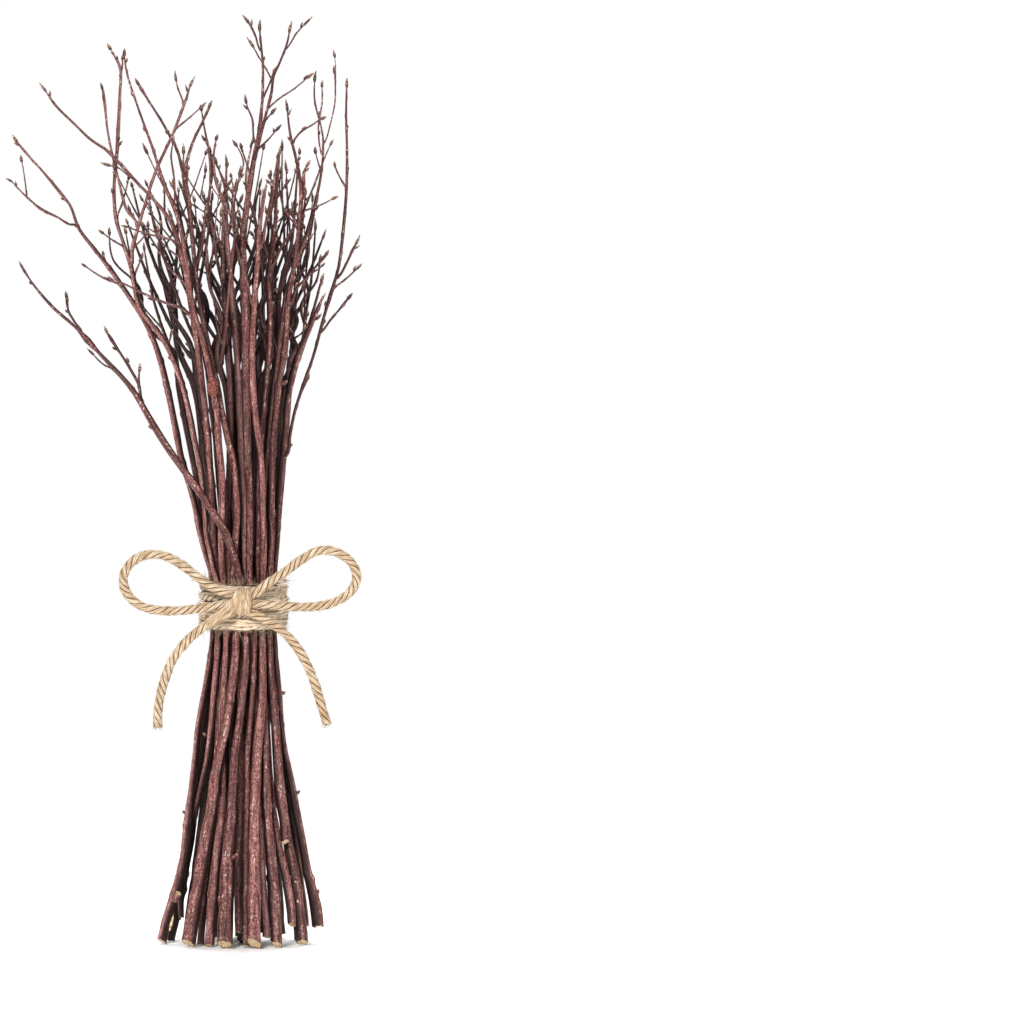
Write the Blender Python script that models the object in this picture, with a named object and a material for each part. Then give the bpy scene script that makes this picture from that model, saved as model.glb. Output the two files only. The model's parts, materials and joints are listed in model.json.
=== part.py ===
# A bundle of birch-like twigs, stood on its cut feet and tied round the middle with jute twine in a bow.
# All sizes are in millimetres until a mesh is written in metres. +Z is up, and the viewer stands at -Y.
import math

import bpy
import numpy as np

toMetres = 0.001
seed = 23
airGap = 0.36            # air kept between any two pieces
lift = 3.0               # the routes below are read from a line this far above the floor
aside = -1.0             # and from a line this far to the side of the tie's axis
frontSides = 6
backSides = 5
inFront = 9              # this many of the first twigs have the finer section
thickBranch = 0.68       # branches of at least this radius have four sides, thinner ones three
flatFill = {3: 1.2, 4: 1.08, 5: 1.04, 6: 1.0}    # a flat-sided section is drawn wider than a round one

tieAxis = (0.0, 0.0)     # centre of the tie in x and y
tieLow = 145.5
tieHigh = 166.5
packRadius = 15.7        # the twigs stay inside this at the tie
twineWidth = 4.3
wrapTurns = 5
bandInside = 16.2
bandNeck = 2.7           # the wound twine's thickness between two turns
bandReach = 4.1          # and at the middle of a turn
bandSides = 20
ringTurn = 1.73          # the section of each next twig is turned by this, in radians

# Heights of the rings that all stems share, from the floor to the foot of the crown.
levels = np.array([0.0, 40.0, 78.0, 112.0, 144.0, 168.0, 190.0, 220.0, 256.0])
tieRows = (4, 5)

# Twigs seen from the front. Each has its depth (height, y) keys, its route up the stem (x, height, width),
# then its side branches: depth gained by the tip, and the route (x, height, width) from the fork.
frontTwigs = [
    dict(
        foot=1, rest=True, cut=(0.35, 0.3), depth=((0, -5), (156, -3), (256, -9), (380, -24)),
        route=((-36.5, 1, 4.6), (-33, 12, 4.6), (-30, 21, 4.9), (-28, 28, 4.6), (-26.2, 36, 4.5),
               (-25, 45, 4.2), (-24, 57, 4.6), (-22.8, 66, 3.4), (-20.8, 85, 2.9), (-20, 95, 2.8),
               (-17, 112, 2.7), (-13.8, 130, 2.6), (-12.6, 143, 2.6), (-13.4, 152, 2.7), (-15.3, 168, 2.8),
               (-17.3, 180, 3.0), (-21, 200, 3.0), (-23.3, 208, 3.0), (-27.2, 221, 3.0), (-30, 236, 2.9),
               (-34, 256, 2.8), (-38.5, 272, 2.6), (-42, 281, 2.4), (-50, 294.5, 2.1), (-58.5, 307, 2.2),
               (-66.5, 317.5, 1.7), (-74, 327.5, 1.6), (-78.5, 339, 1.2), (-82, 343.5, 1.6),
               (-91, 354.5, 1.0), (-99, 363.5, 1.2), (-105, 371, 0.6)),
        sides=((-6, ((-74, 327.5, 1.3), (-78, 329.5, 1.2), (-84, 333, 1.1), (-91, 336.5, 1.6),
                     (-97, 341.5, 0.9), (-107.5, 352.5, 0.6))),
               (3, ((-62, 312, 1.1), (-63, 315.5, 1.0), (-64.5, 318, 0.6)))),
    ),
    dict(
        foot=8, rest=False, cut=(0.1, 0.2),
        depth=((0, 7), (60, 1), (100, -8), (156, -9), (256, -17), (400, -30)),
        route=((-28.7, 5, 2.8), (-28.5, 15, 3.0), (-27.5, 25, 3.0), (-26, 35, 3.0), (-24, 45, 3.0),
               (-22.3, 52, 3.0), (-20.5, 60, 2.6), (-17, 75, 2.4), (-15, 83, 2.6), (-13.6, 92, 3.4),
               (-12.5, 102, 3.0), (-11.5, 115, 3.0), (-10.5, 130, 3.0), (-10.5, 145, 3.0), (-12, 158, 3.0),
               (-14.3, 170, 2.6), (-15.6, 185, 2.4), (-16.5, 200, 2.3), (-17.8, 214, 2.3), (-20.3, 227, 2.4),
               (-22.5, 238, 2.6), (-25, 250, 2.8), (-31, 268, 2.5), (-35, 276, 2.4), (-41, 284, 2.3),
               (-46, 291, 2.2), (-48.3, 300, 2.1), (-50, 310, 2.2), (-53.5, 321, 1.7), (-56.8, 332, 1.7),
               (-57.8, 345, 1.5), (-56.5, 362, 1.4), (-55.7, 375, 1.6), (-55, 390, 1.3), (-55.2, 403, 1.3),
               (-57.5, 407.5, 1.0), (-61, 413.5, 0.7)),
        sides=((-10, ((-50.2, 311, 1.8), (-49.6, 318, 1.8), (-47.5, 326, 1.6), (-44, 338, 1.4),
                      (-38, 356, 1.5), (-31.5, 370, 1.3), (-24.6, 388, 1.2), (-21.3, 399, 0.6))),
               (-6, ((-47, 328.5, 1.4), (-52, 337, 1.4), (-55.3, 349, 1.3), (-60.6, 373, 1.0),
                     (-62.5, 390, 1.5), (-63.8, 396, 0.6))),
               (3, ((-26, 385, 0.9), (-28.5, 393, 0.8), (-30, 400.5, 0.5))),
               (4, ((-55, 398, 0.9), (-53.8, 405, 0.8), (-54.5, 409, 0.5)))),
    ),
    dict(
        foot=0, rest=True, cut=(0.0, 0.25), depth=((0, -22), (156, -12.3), (256, -26), (413, -48)),
        route=((-14.5, -1, 4.6), (-13.5, 10, 4.6), (-12.8, 20, 4.4), (-12, 30, 4.2), (-10.8, 40, 4.0),
               (-9.5, 50, 4.0), (-8.5, 60, 3.8), (-8, 75, 3.4), (-8.3, 90, 3.2), (-8.3, 105, 3.2),
               (-7.3, 120, 3.0), (-6.7, 135, 3.0), (-7, 150, 3.0), (-8.6, 165, 3.0), (-9.2, 175, 3.0),
               (-9, 185, 3.2), (-8.3, 200, 3.3), (-8.5, 215, 3.3), (-9.8, 228, 3.2), (-10.5, 240, 3.1),
               (-12, 252, 3.0), (-16, 272, 2.6), (-21.5, 292, 2.3), (-24.5, 312, 2.1), (-28, 332, 1.9),
               (-34.5, 349, 1.6), (-40, 366, 1.3), (-47, 386, 1.0), (-52, 403, 0.9), (-53, 413, 0.5)),
        sides=((-8, ((-26, 320, 1.1), (-33, 324, 1.0), (-41, 326, 0.9), (-50, 329, 0.8), (-55, 331, 0.5))),
               (6, ((-30, 338, 0.9), (-30, 350, 0.9), (-31.5, 362, 0.8), (-30, 372, 0.5)))),
    ),
    dict(
        foot=0, rest=True, cut=(0.35, 0.4), depth=((0, -25), (156, -14), (256, -18), (387, -10)),
        route=((-24, 0, 6.2), (-22, 12, 6.2), (-19.5, 25, 5.9), (-17.5, 37, 5.7), (-15.7, 48, 5.5),
               (-13.7, 58, 5.3), (-12.4, 68, 4.9), (-11.3, 78, 4.6), (-9, 88, 4.6), (-7.3, 95, 4.4),
               (-5.8, 103, 4.4), (-4.6, 112, 4.2), (-3.2, 120, 4.0), (-2.4, 128, 3.8), (-1.9, 138, 3.6),
               (-2, 150, 3.4), (-2.6, 165, 3.3), (-2.3, 180, 3.2), (-1.5, 195, 3.2), (-1.8, 208, 3.3),
               (-3, 220, 3.3), (-5.5, 230, 3.2), (-8, 241, 3.1), (-10, 252, 3.0), (-16.5, 282, 2.7),
               (-20, 302, 2.4), (-22, 322, 2.2), (-24, 342, 2.0), (-25.5, 352, 1.9), (-22.5, 365, 1.4),
               (-17, 377, 1.1), (-14.3, 383, 1.7), (-12.8, 387, 0.6)),
        sides=((-9, ((-25.2, 350, 1.6), (-28.5, 362, 1.4), (-35, 375, 1.2), (-43, 388, 1.1),
                     (-46, 393, 2.0), (-48.7, 397.5, 0.6))),
               (8, ((-21, 310, 1.5), (-17, 328, 1.3), (-14, 345, 1.2), (-14.5, 362, 1.0), (-16.5, 372, 0.9),
                    (-18.5, 383.5, 0.6)))),
    ),
    dict(
        foot=0, rest=True, cut=(0.1, 0.42),
        depth=((0, -32), (156, -14.2), (180, -19), (212, -27), (256, -34), (314, -42)),
        route=((-7.2, 0, 7.2), (-7, 12, 6.8), (-6.5, 25, 6.2), (-6, 37, 6.0), (-5.3, 47, 5.8),
               (-4.2, 58, 5.0), (-3.5, 70, 4.2), (-2.8, 82, 3.8), (-1.8, 92, 3.6), (-0.5, 100, 3.5),
               (0.7, 110, 3.4), (1.8, 120, 3.4), (2.8, 130, 3.4), (3, 140, 3.4), (2, 152, 3.4),
               (-0.5, 162, 3.4), (-2.5, 172, 3.4), (-4, 180, 3.4), (-7, 188.5, 3.5), (-11, 196, 3.5),
               (-15.5, 203, 3.4), (-19.5, 209, 3.3), (-24, 214.5, 3.2), (-27.5, 219.5, 3.2),
               (-31.5, 225, 3.2), (-35.5, 231, 3.3), (-39.5, 238, 3.2), (-43.5, 244.5, 2.8),
               (-47.5, 252, 2.4), (-53, 259, 2.0), (-65, 272, 1.8), (-70, 277.5, 3.0), (-74.5, 282.5, 1.2),
               (-86, 293, 1.5), (-96.5, 306, 0.9), (-99, 310, 1.6), (-101, 314, 0.6)),
        sides=((4, ((-72.5, 280.5, 1.2), (-76, 286, 1.1), (-78.7, 291, 0.9), (-79.4, 296, 1.5),
                    (-79.5, 300.5, 0.6))),
               (5, ((-45, 247, 1.5), (-46.3, 256, 1.4), (-50, 263, 1.2), (-55, 271, 1.1), (-59, 277, 1.6),
                    (-63, 283.5, 0.7))),
               (-3, ((-46.6, 256.5, 1.0), (-46.3, 262, 0.9), (-45.3, 267.5, 0.5)))),
    ),
    dict(
        foot=1, rest=True, cut=(0.2, 0.2), depth=((0, -25), (156, -11.5), (256, -23), (424, -18)),
        route=((2.3, 0, 3.0), (2.3, 20, 3.0), (2.5, 40, 3.0), (2.8, 60, 3.2), (3, 78, 3.2), (3.4, 90, 3.2),
               (4.5, 100, 3.2), (5.5, 110, 3.0), (6, 120, 3.0), (6.2, 130, 3.0), (5.9, 145, 3.1),
               (4.8, 158, 3.2), (3.7, 170, 3.3), (4.2, 185, 3.4), (4.3, 200, 3.3), (3.8, 215, 3.4),
               (3.3, 230, 3.6), (3, 245, 3.8), (2.8, 256, 4.0), (2.5, 272, 4.2), (2.2, 290, 4.2),
               (1.5, 308, 3.6), (1.2, 322, 3.2), (3.3, 340, 2.8), (6.2, 359, 2.2), (8.5, 371, 1.8),
               (10.2, 388, 1.3), (10.4, 402, 1.1), (9.3, 415, 1.0), (8.5, 424, 0.6)),
        sides=((-12, ((6.2, 359, 1.5), (9.5, 371, 1.4), (12, 381, 1.3), (14.5, 391, 1.3), (15.3, 397.5, 1.2),
                      (18.5, 405, 0.9), (21.7, 413.5, 0.9), (23.5, 424, 0.6))),
               (4, ((15, 395, 0.9), (11.5, 402, 0.8), (8.5, 407, 0.7), (3.5, 416, 0.5))),
               (5, ((9.9, 409, 1.0), (7, 416, 0.9), (3.6, 422.5, 1.5), (0.8, 426, 0.5))),
               (7, ((7.5, 366, 1.0), (5.5, 378, 0.9), (3.2, 383.5, 0.8), (1.8, 389.5, 0.6))),
               (-6, ((12.6, 383, 0.9), (17, 387, 0.8), (25, 392.5, 0.7), (34.5, 400.5, 0.5))),
               (-5, ((20.5, 410, 0.8), (26, 418, 0.7), (33.5, 426, 0.5)))),
    ),
    dict(
        foot=0, rest=True, cut=(0.42, 0.5), depth=((0, -33), (156, -10.8), (256, -31), (350, -42)),
        route=((6.2, -2, 7.0), (6, 10, 6.6), (5.8, 20, 6.2), (6, 30, 5.8), (6, 45, 5.5), (6.3, 60, 5.2),
               (6.9, 75, 5.0), (7.6, 88, 4.8), (8.7, 100, 4.5), (9.8, 110, 4.2), (10.3, 120, 4.0),
               (10.7, 130, 3.8), (11, 142, 3.6), (11, 155, 3.4), (10.8, 170, 3.3), (10.7, 185, 3.2),
               (10.2, 200, 3.2), (10, 212, 3.0), (9.6, 222, 3.0), (8.3, 232, 3.0), (7, 242, 3.0),
               (6.2, 252, 2.9), (5.6, 265, 2.8), (5.8, 280, 2.6), (6.7, 295, 2.4), (7.8, 310, 2.4),
               (8.8, 325, 2.0), (10.2, 338, 1.6), (11.2, 344.5, 1.9), (12.8, 350.5, 0.7)),
        sides=((-5, ((8.5, 319, 1.3), (11.5, 330, 1.2), (15, 343, 1.1), (16.2, 353, 1.0), (17.8, 365, 0.6))),
               (6, ((6.5, 292, 1.2), (3, 305, 1.1), (-1, 318, 1.0), (-3.5, 331, 0.9), (-2, 345, 0.8),
                    (1, 357, 0.5)))),
    ),
    dict(
        foot=44, rest=False, cut=(0.0, 0.42),
        depth=((47, -21), (100, -11), (156, -5.5), (256, -18), (388, -34)),
        route=((21.3, 44, 4.0), (20.2, 53, 4.3), (18.8, 63, 4.6), (17.6, 72, 4.4), (16.8, 82, 4.2),
               (15.8, 92, 3.6), (14.8, 102, 3.3), (14, 112, 3.2), (13.8, 122, 3.1), (14, 135, 3.1),
               (14.1, 150, 3.2), (14, 170, 3.3), (14.3, 185, 3.3), (14, 200, 3.3), (14.3, 215, 3.4),
               (14.8, 228, 3.4), (16, 240, 3.3), (16.8, 251, 3.2), (20.5, 273, 3.0), (21.3, 285, 3.0),
               (22, 296, 2.8), (24, 307, 2.5), (26, 320, 2.2), (27.5, 334, 2.0), (28, 345, 1.8),
               (26, 359, 1.3), (23.2, 371, 1.2), (22, 380, 0.8), (21.5, 388, 0.6)),
        sides=((-4, ((27.9, 341, 1.5), (29.3, 353.5, 1.5), (32.5, 361, 0.7))),
               (-9, ((21.8, 292, 1.4), (25.5, 300, 1.3), (29, 303.8, 1.3), (35, 311, 1.1), (39, 315.7, 1.9),
                     (41.5, 318.7, 0.7))),
               (-5, ((24.2, 367, 1.0), (28, 372.8, 0.9), (33, 376, 0.8), (40.5, 381, 0.5))),
               (6, ((26.8, 327, 1.0), (20.5, 336, 0.9), (18, 348, 0.7), (19.5, 358, 0.5)))),
    ),
    dict(
        foot=4, rest=False, cut=(0.02, 0.14), depth=((0, -3), (156, -1), (256, -6), (299, -12)),
        route=((36.5, 4.5, 5.8), (34.7, 12, 5.6), (33, 20, 5.4), (30.5, 30, 4.8), (28.8, 40, 4.2),
               (27, 50, 4.0), (25, 60, 3.8), (24, 66, 4.2), (22, 77, 3.2), (19.7, 86, 3.0), (18.7, 95, 2.8),
               (17.8, 105, 3.2), (17.4, 112, 3.6), (16.8, 120, 3.0), (16, 130, 2.8), (15.3, 143, 2.8),
               (15.2, 158, 2.9), (15.5, 170, 3.0), (15.8, 185, 3.1), (17, 200, 3.2), (18.5, 212, 3.4),
               (20, 225, 3.4), (20.4, 237, 2.8), (21.4, 249, 2.8), (26, 267, 2.9), (29.5, 276, 2.4),
               (36, 291.5, 1.7), (39, 298.8, 1.2)),
        sides=((-9, ((20.2, 221, 1.7), (22.5, 231, 1.6), (24.7, 242, 1.6), (27.7, 252, 1.6),
                     (33.3, 268, 1.5), (38.5, 287, 1.6), (41.8, 298, 1.9), (45, 309, 1.5), (47, 324, 1.6),
                     (48.7, 345, 1.4), (49, 362, 1.2), (48.6, 380, 1.1), (49, 398, 0.6))),
               (-5, ((36.5, 279, 1.2), (41, 284.7, 1.1), (45, 289.5, 0.9), (50, 295.8, 1.5),
                     (52.7, 299, 0.8))),
               (-5, ((43.7, 304, 1.3), (48.7, 311.3, 1.1), (53.4, 320.8, 1.2), (56.3, 324, 0.9))),
               (4, ((25, 264, 1.1), (28.4, 277, 1.0), (29.3, 286, 0.9), (29.4, 296, 0.8),
                    (28.6, 303.5, 0.6)))),
    ),
    dict(
        foot=0, rest=True, cut=(0.25, 0.42), depth=((0, -27), (66, -17), (156, -6), (256, -14), (366, -26)),
        route=((16.7, -1, 5.4), (16.3, 10, 5.2), (15.5, 25, 5.0), (14, 40, 4.7), (12.5, 52, 4.4),
               (11.4, 65, 4.0), (10.9, 78, 3.8), (10.8, 90, 3.5), (10.3, 105, 3.4), (9.5, 120, 3.4),
               (9, 140, 3.4), (8.6, 155, 3.4), (8, 175, 3.3), (7.8, 190, 3.2), (8.2, 210, 3.1),
               (9.5, 235, 3.0), (11, 250, 2.9), (12.5, 265, 2.8), (13.5, 280, 2.6), (13.3, 295, 2.5),
               (12.8, 306, 2.3), (14.5, 318, 1.8), (16, 330, 1.6), (16.8, 345, 1.4), (18.4, 366.5, 0.8)),
        sides=((-7, ((13.2, 309, 1.4), (18.5, 318.5, 1.3), (23.5, 326.5, 1.2), (29, 336, 1.1),
                     (34, 348, 1.0), (39, 361, 0.8), (43, 370, 0.5))),),
    ),
    dict(
        foot=0, rest=True, cut=(0.02, 0.4), depth=((0, -14), (156, -1.2), (256, -3), (358, 10)),
        route=((28.2, -1, 5.8), (27, 10, 5.6), (25.5, 22, 5.4), (24, 32, 5.0), (22, 42, 4.6), (20.3, 52, 4.2),
               (19, 62, 4.0), (18, 72, 4.0), (16.8, 85, 3.6), (15, 105, 3.4), (13, 125, 3.4),
               (12.3, 145, 3.3), (12.3, 165, 3.2), (12.5, 190, 3.1), (13, 215, 3.0), (15, 240, 2.8),
               (17, 256, 2.7), (18, 270, 2.5), (17.3, 285, 2.3), (17.8, 298, 2.1), (19.8, 307, 1.9),
               (23, 318, 1.6), (24.5, 330, 1.2), (25.5, 345, 1.1), (26.5, 358, 0.7)),
        sides=((6, ((18, 271, 1.3), (14.5, 284, 1.2), (12, 298, 1.1), (11.5, 314, 1.0), (8.5, 330, 0.9),
                    (9, 345, 0.5))),),
    ),
    dict(
        foot=6, rest=False, cut=(0.3, 0.3), depth=((0, -21), (66, -13), (156, 3), (256, -8), (399, -14)),
        route=((24.8, 5, 4.2), (23.2, 15, 4.2), (21, 27, 4.0), (19.5, 35, 3.8), (17.8, 42, 3.6),
               (16, 52, 3.5), (14.5, 62, 3.4), (13.5, 72, 3.3), (12.8, 82, 3.2), (12, 100, 3.2),
               (11.5, 125, 3.2), (11, 150, 3.2), (10.8, 175, 3.0), (12, 210, 2.9), (14, 240, 2.8),
               (15.5, 256, 2.7), (18.5, 280, 2.4), (22.5, 303, 1.9), (26, 312.5, 1.7), (29.5, 322, 1.6),
               (33, 334, 1.4), (37.3, 354, 1.2), (38, 368, 1.0), (34, 388, 0.8), (34.3, 399.5, 0.5)),
        sides=((7, ((37.8, 361, 0.9), (35.8, 374, 0.8), (37.5, 385, 0.7), (37.3, 396, 0.5))),
               (-6, ((38, 366, 0.8), (41, 374, 0.7), (43.5, 386, 0.7), (43, 404, 0.5)))),
    ),
    dict(
        foot=1, rest=True, cut=(0.0, 0.2), depth=((0, -15), (156, -4.6), (190, -11), (256, -19), (397, -42)),
        route=((-18.5, 0, 3.4), (-17.5, 10, 3.4), (-16.5, 18, 3.4), (-15, 30, 3.2), (-13.5, 45, 3.2),
               (-12, 60, 3.2), (-11, 80, 3.2), (-10.5, 100, 3.2), (-10, 125, 3.1), (-9.7, 150, 3.1),
               (-11.6, 170, 3.2), (-12.7, 185, 3.3), (-13, 200, 3.3), (-13.5, 212, 3.3), (-14.5, 225, 3.2),
               (-15.2, 235, 3.1), (-16.3, 246, 3.0), (-19, 268, 2.8), (-20.5, 280, 2.6), (-23, 295, 2.4),
               (-25.5, 310, 2.2), (-29, 324, 2.0), (-33, 333.5, 1.7), (-38.5, 340.5, 1.5), (-47, 349.5, 1.4),
               (-56, 359.5, 1.5), (-61, 364.5, 1.5), (-68, 369.3, 1.2), (-76, 377, 1.0), (-84, 385, 1.1),
               (-91.7, 396.5, 0.6)),
        sides=((-9, ((-21.5, 287, 1.4), (-27, 291.5, 1.3), (-33, 293.5, 1.2), (-39, 296, 1.1),
                     (-45, 298.7, 1.0), (-55, 303.7, 0.9), (-61, 305.4, 1.3), (-65, 307.3, 0.7))),
               (6, ((-24, 301, 1.2), (-31, 308, 1.1), (-36.5, 318, 1.0), (-38, 330, 0.5))),
               (4, ((-49, 351.5, 0.8), (-56, 356.5, 0.7), (-65, 357.5, 0.5)))),
    ),
    dict(
        foot=1, rest=False, cut=(0.1, 0.2), depth=((0, -23), (156, -8), (256, -8), (371, -12)),
        route=((12.3, 0, 3.8), (10.8, 15, 3.8), (9.8, 30, 3.7), (9.3, 45, 3.6), (9, 60, 3.5), (8.8, 75, 3.4),
               (8.7, 90, 3.4), (7, 110, 3.4), (5, 130, 3.4), (4, 150, 3.4), (2.5, 170, 3.3), (1.8, 190, 3.2),
               (0.5, 215, 3.1), (-0.5, 240, 3.0), (-1, 256, 3.0), (-2, 272, 2.8), (-3.5, 290, 2.6),
               (-4.5, 305, 2.4), (-6, 320, 2.1), (-7.5, 338, 1.8), (-11.5, 350, 1.3), (-12.3, 360, 1.1),
               (-10.5, 371.5, 0.8)),
        sides=((-7, ((-5.5, 314, 1.2), (-2, 326, 1.1), (-3.3, 337, 1.0), (-1, 348, 0.8), (1.5, 358, 0.7),
                     (-3.5, 369, 0.5))),),
    ),
    dict(
        foot=3, rest=False, cut=(0.3, 0.2), depth=((0, -20), (156, -9), (256, -7), (361, 2)),
        route=((-1, 1, 3.2), (-1.5, 20, 3.2), (-1, 40, 3.0), (0, 60, 3.0), (0.3, 80, 3.0), (0, 100, 3.0),
               (-0.5, 125, 3.0), (-2.5, 150, 3.0), (-5.5, 170, 3.0), (-6.5, 190, 2.9), (-5.5, 210, 2.8),
               (-4.5, 230, 2.8), (-5, 256, 2.7), (-6, 270, 2.6), (-7.5, 290, 2.3), (-8.3, 310, 2.0),
               (-7.7, 335, 1.5), (-6.7, 350, 1.2), (-6.3, 361, 0.7)),
        sides=((5, ((-8.3, 306, 1.3), (-12, 322, 1.2), (-15, 338, 1.1), (-13, 352, 1.0),
                    (-14.5, 366, 0.5))),),
    ),
]

# Twigs behind and inside. Each follows a front stem below the tie, mirrored to the back: its place at the
# tie as (ring radius, angle), the front stem followed, the share of its spread, the depth of the foot, the
# widths at foot and tie, and the crown's end as (x, y, height).
backTwigs = [
    (0.0, 0, 14, 0.0, 0.0, 3.8, 3.6, (-3, 14, 352)),
    (4.7, 20, 10, 0.30, 6, 4.2, 3.8, (14, 26, 346)),
    (4.7, 80, 5, 0.60, 12, 4.4, 3.9, (5, 40, 372)),
    (4.7, 140, 14, 1.00, 10, 4.0, 3.7, (-16, 36, 340)),
    (4.7, 200, 2, 0.35, -2, 4.0, 3.6, (-36, 10, 352)),
    (4.7, 255, 14, 1.00, -9, 3.8, 3.4, (-20, -8, 336)),
    (4.7, 310, 5, 0.60, -9, 3.8, 3.4, (16, 2, 344)),
    (9.3, 12, 9, 0.60, 3, 4.4, 3.8, (30, 14, 330)),
    (9.3, 45, 9, 1.00, 14, 4.8, 4.0, (22, 38, 352)),
    (9.3, 75, 6, 0.90, 22, 5.0, 4.0, (10, 54, 338)),
    (9.3, 105, 4, 0.90, 22, 4.8, 4.0, (-8, 56, 360)),
    (9.3, 138, 2, 0.90, 16, 4.6, 3.9, (-30, 44, 350)),
    (9.3, 168, 3, 0.80, 9, 4.2, 3.8, (-44, 26, 346)),
    (13.6, 8, 10, 1.00, 4, 5.0, 3.4, (36, 12, 318)),
    (13.6, 30, 10, 0.90, 17, 5.4, 3.8, (32, 36, 326)),
    (13.6, 53, 9, 1.05, 27, 5.6, 4.0, (24, 56, 336)),
    (13.6, 76, 6, 1.00, 33, 6.2, 4.1, (8, 70, 350)),
    (13.6, 99, 4, 1.00, 34, 6.4, 4.1, (-10, 74, 344)),
    (13.6, 122, 2, 1.10, 29, 5.6, 4.0, (-28, 66, 366)),
    (13.6, 145, 3, 1.00, 20, 5.4, 3.8, (-46, 46, 350)),
    (13.6, 166, 0, 0.90, 8, 4.6, 3.2, (-62, 24, 330)),
]
crownLeft = -66          # the back twigs' side branches end inside these
crownRight = 38
crownTop = 408
backRestEvery = 2        # every second of them stands on the floor
backTaper = (0.82, 0.66, 0.50, 0.36, 0.20)
backForks = (0.14, 0.38, 0.64)


# A route of (x, height, width) moved to stand on the floor with the tie's axis at x = 0.
def placed(route):
    return np.array(route, float) + (aside, lift, 0.0)


# A value read from (height, value) keys at the given heights.
def keyed(keys, rows):
    table = np.array(keys, float)
    return np.interp(rows, table[:, 0], table[:, 1])


# Shortest distance from one segment to each of many, by clamping both parameters in turn.
def segmentGap(start, end, starts, ends):
    d1 = end - start
    d2 = ends - starts
    r = start - starts
    a = d1 @ d1
    e = np.einsum("ij,ij->i", d2, d2)
    b = d2 @ d1
    c = r @ d1
    f = np.einsum("ij,ij->i", d2, r)
    denom = a * e - b * b
    s = np.where(denom > 1e-9, np.clip((b * f - c * e) / np.where(denom > 1e-9, denom, 1), 0, 1), 0.0)
    t = (b * s + f) / np.maximum(e, 1e-12)
    low = t < 0
    high = t > 1
    t = np.clip(t, 0, 1)
    s = np.where(low, np.clip(-c / a, 0, 1), s)
    s = np.where(high, np.clip((b - c) / a, 0, 1), s)
    apart = r + s[:, None] * d1 - t[:, None] * d2
    return np.linalg.norm(apart, axis=1)


# Target x, y and radius of every stem at the shared levels, and what its crown is to do.
def plannedStems():
    plans = []
    for spec in frontTwigs:
        route = placed(spec["route"])
        x = np.interp(levels, route[:, 1], route[:, 0])
        y = keyed(spec["depth"], levels)
        radius = np.interp(levels, route[:, 1], route[:, 2]) / 2
        foot = 0.0 if spec["rest"] else spec["foot"] + lift
        sides = frontSides if len(plans) < inFront else backSides
        plans.append(dict(x=x, y=y, radius=radius, foot=foot, spec=spec, cut=spec["cut"], sides=sides,
                          hold=(0.30, 0.08)))
    for order, (ring, angle, follows, share, footY, footWidth, tieWidth, crown) in enumerate(backTwigs):
        turn = math.radians(angle)
        tieX = tieAxis[0] + ring * math.cos(turn)
        tieY = tieAxis[1] + ring * math.sin(turn)
        lead = plans[follows]
        leadTie = np.interp(156.0, levels, lead["x"])
        up = np.clip((levels - 156.0) / 100.0, 0, 1)
        down = np.clip((156.0 - levels) / 156.0, 0, 1)
        x = tieX + np.where(levels < 156.0, share * (lead["x"] - leadTie), 0.0)
        x = x + up ** 1.3 * 0.34 * (crown[0] - tieX)
        y = tieY + down ** 1.1 * (footY - tieY) + up ** 1.3 * 0.40 * (crown[1] - tieY)
        radius = 0.5 * (tieWidth + down * (footWidth - tieWidth) - up * 0.16 * tieWidth)
        rests = order % backRestEvery == 0
        foot = 0.0 if rests else 2.0 + 1.7 * (order % 5)
        cut = (0.0, 0.0) if rests else (0.25 * math.sin(order), 0.25 * math.cos(order))
        plans.append(dict(x=x, y=y, radius=radius, foot=foot, crown=crown, cut=cut, sides=backSides,
                          order=order, hold=(0.10, 0.10)))
    return plans


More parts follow.
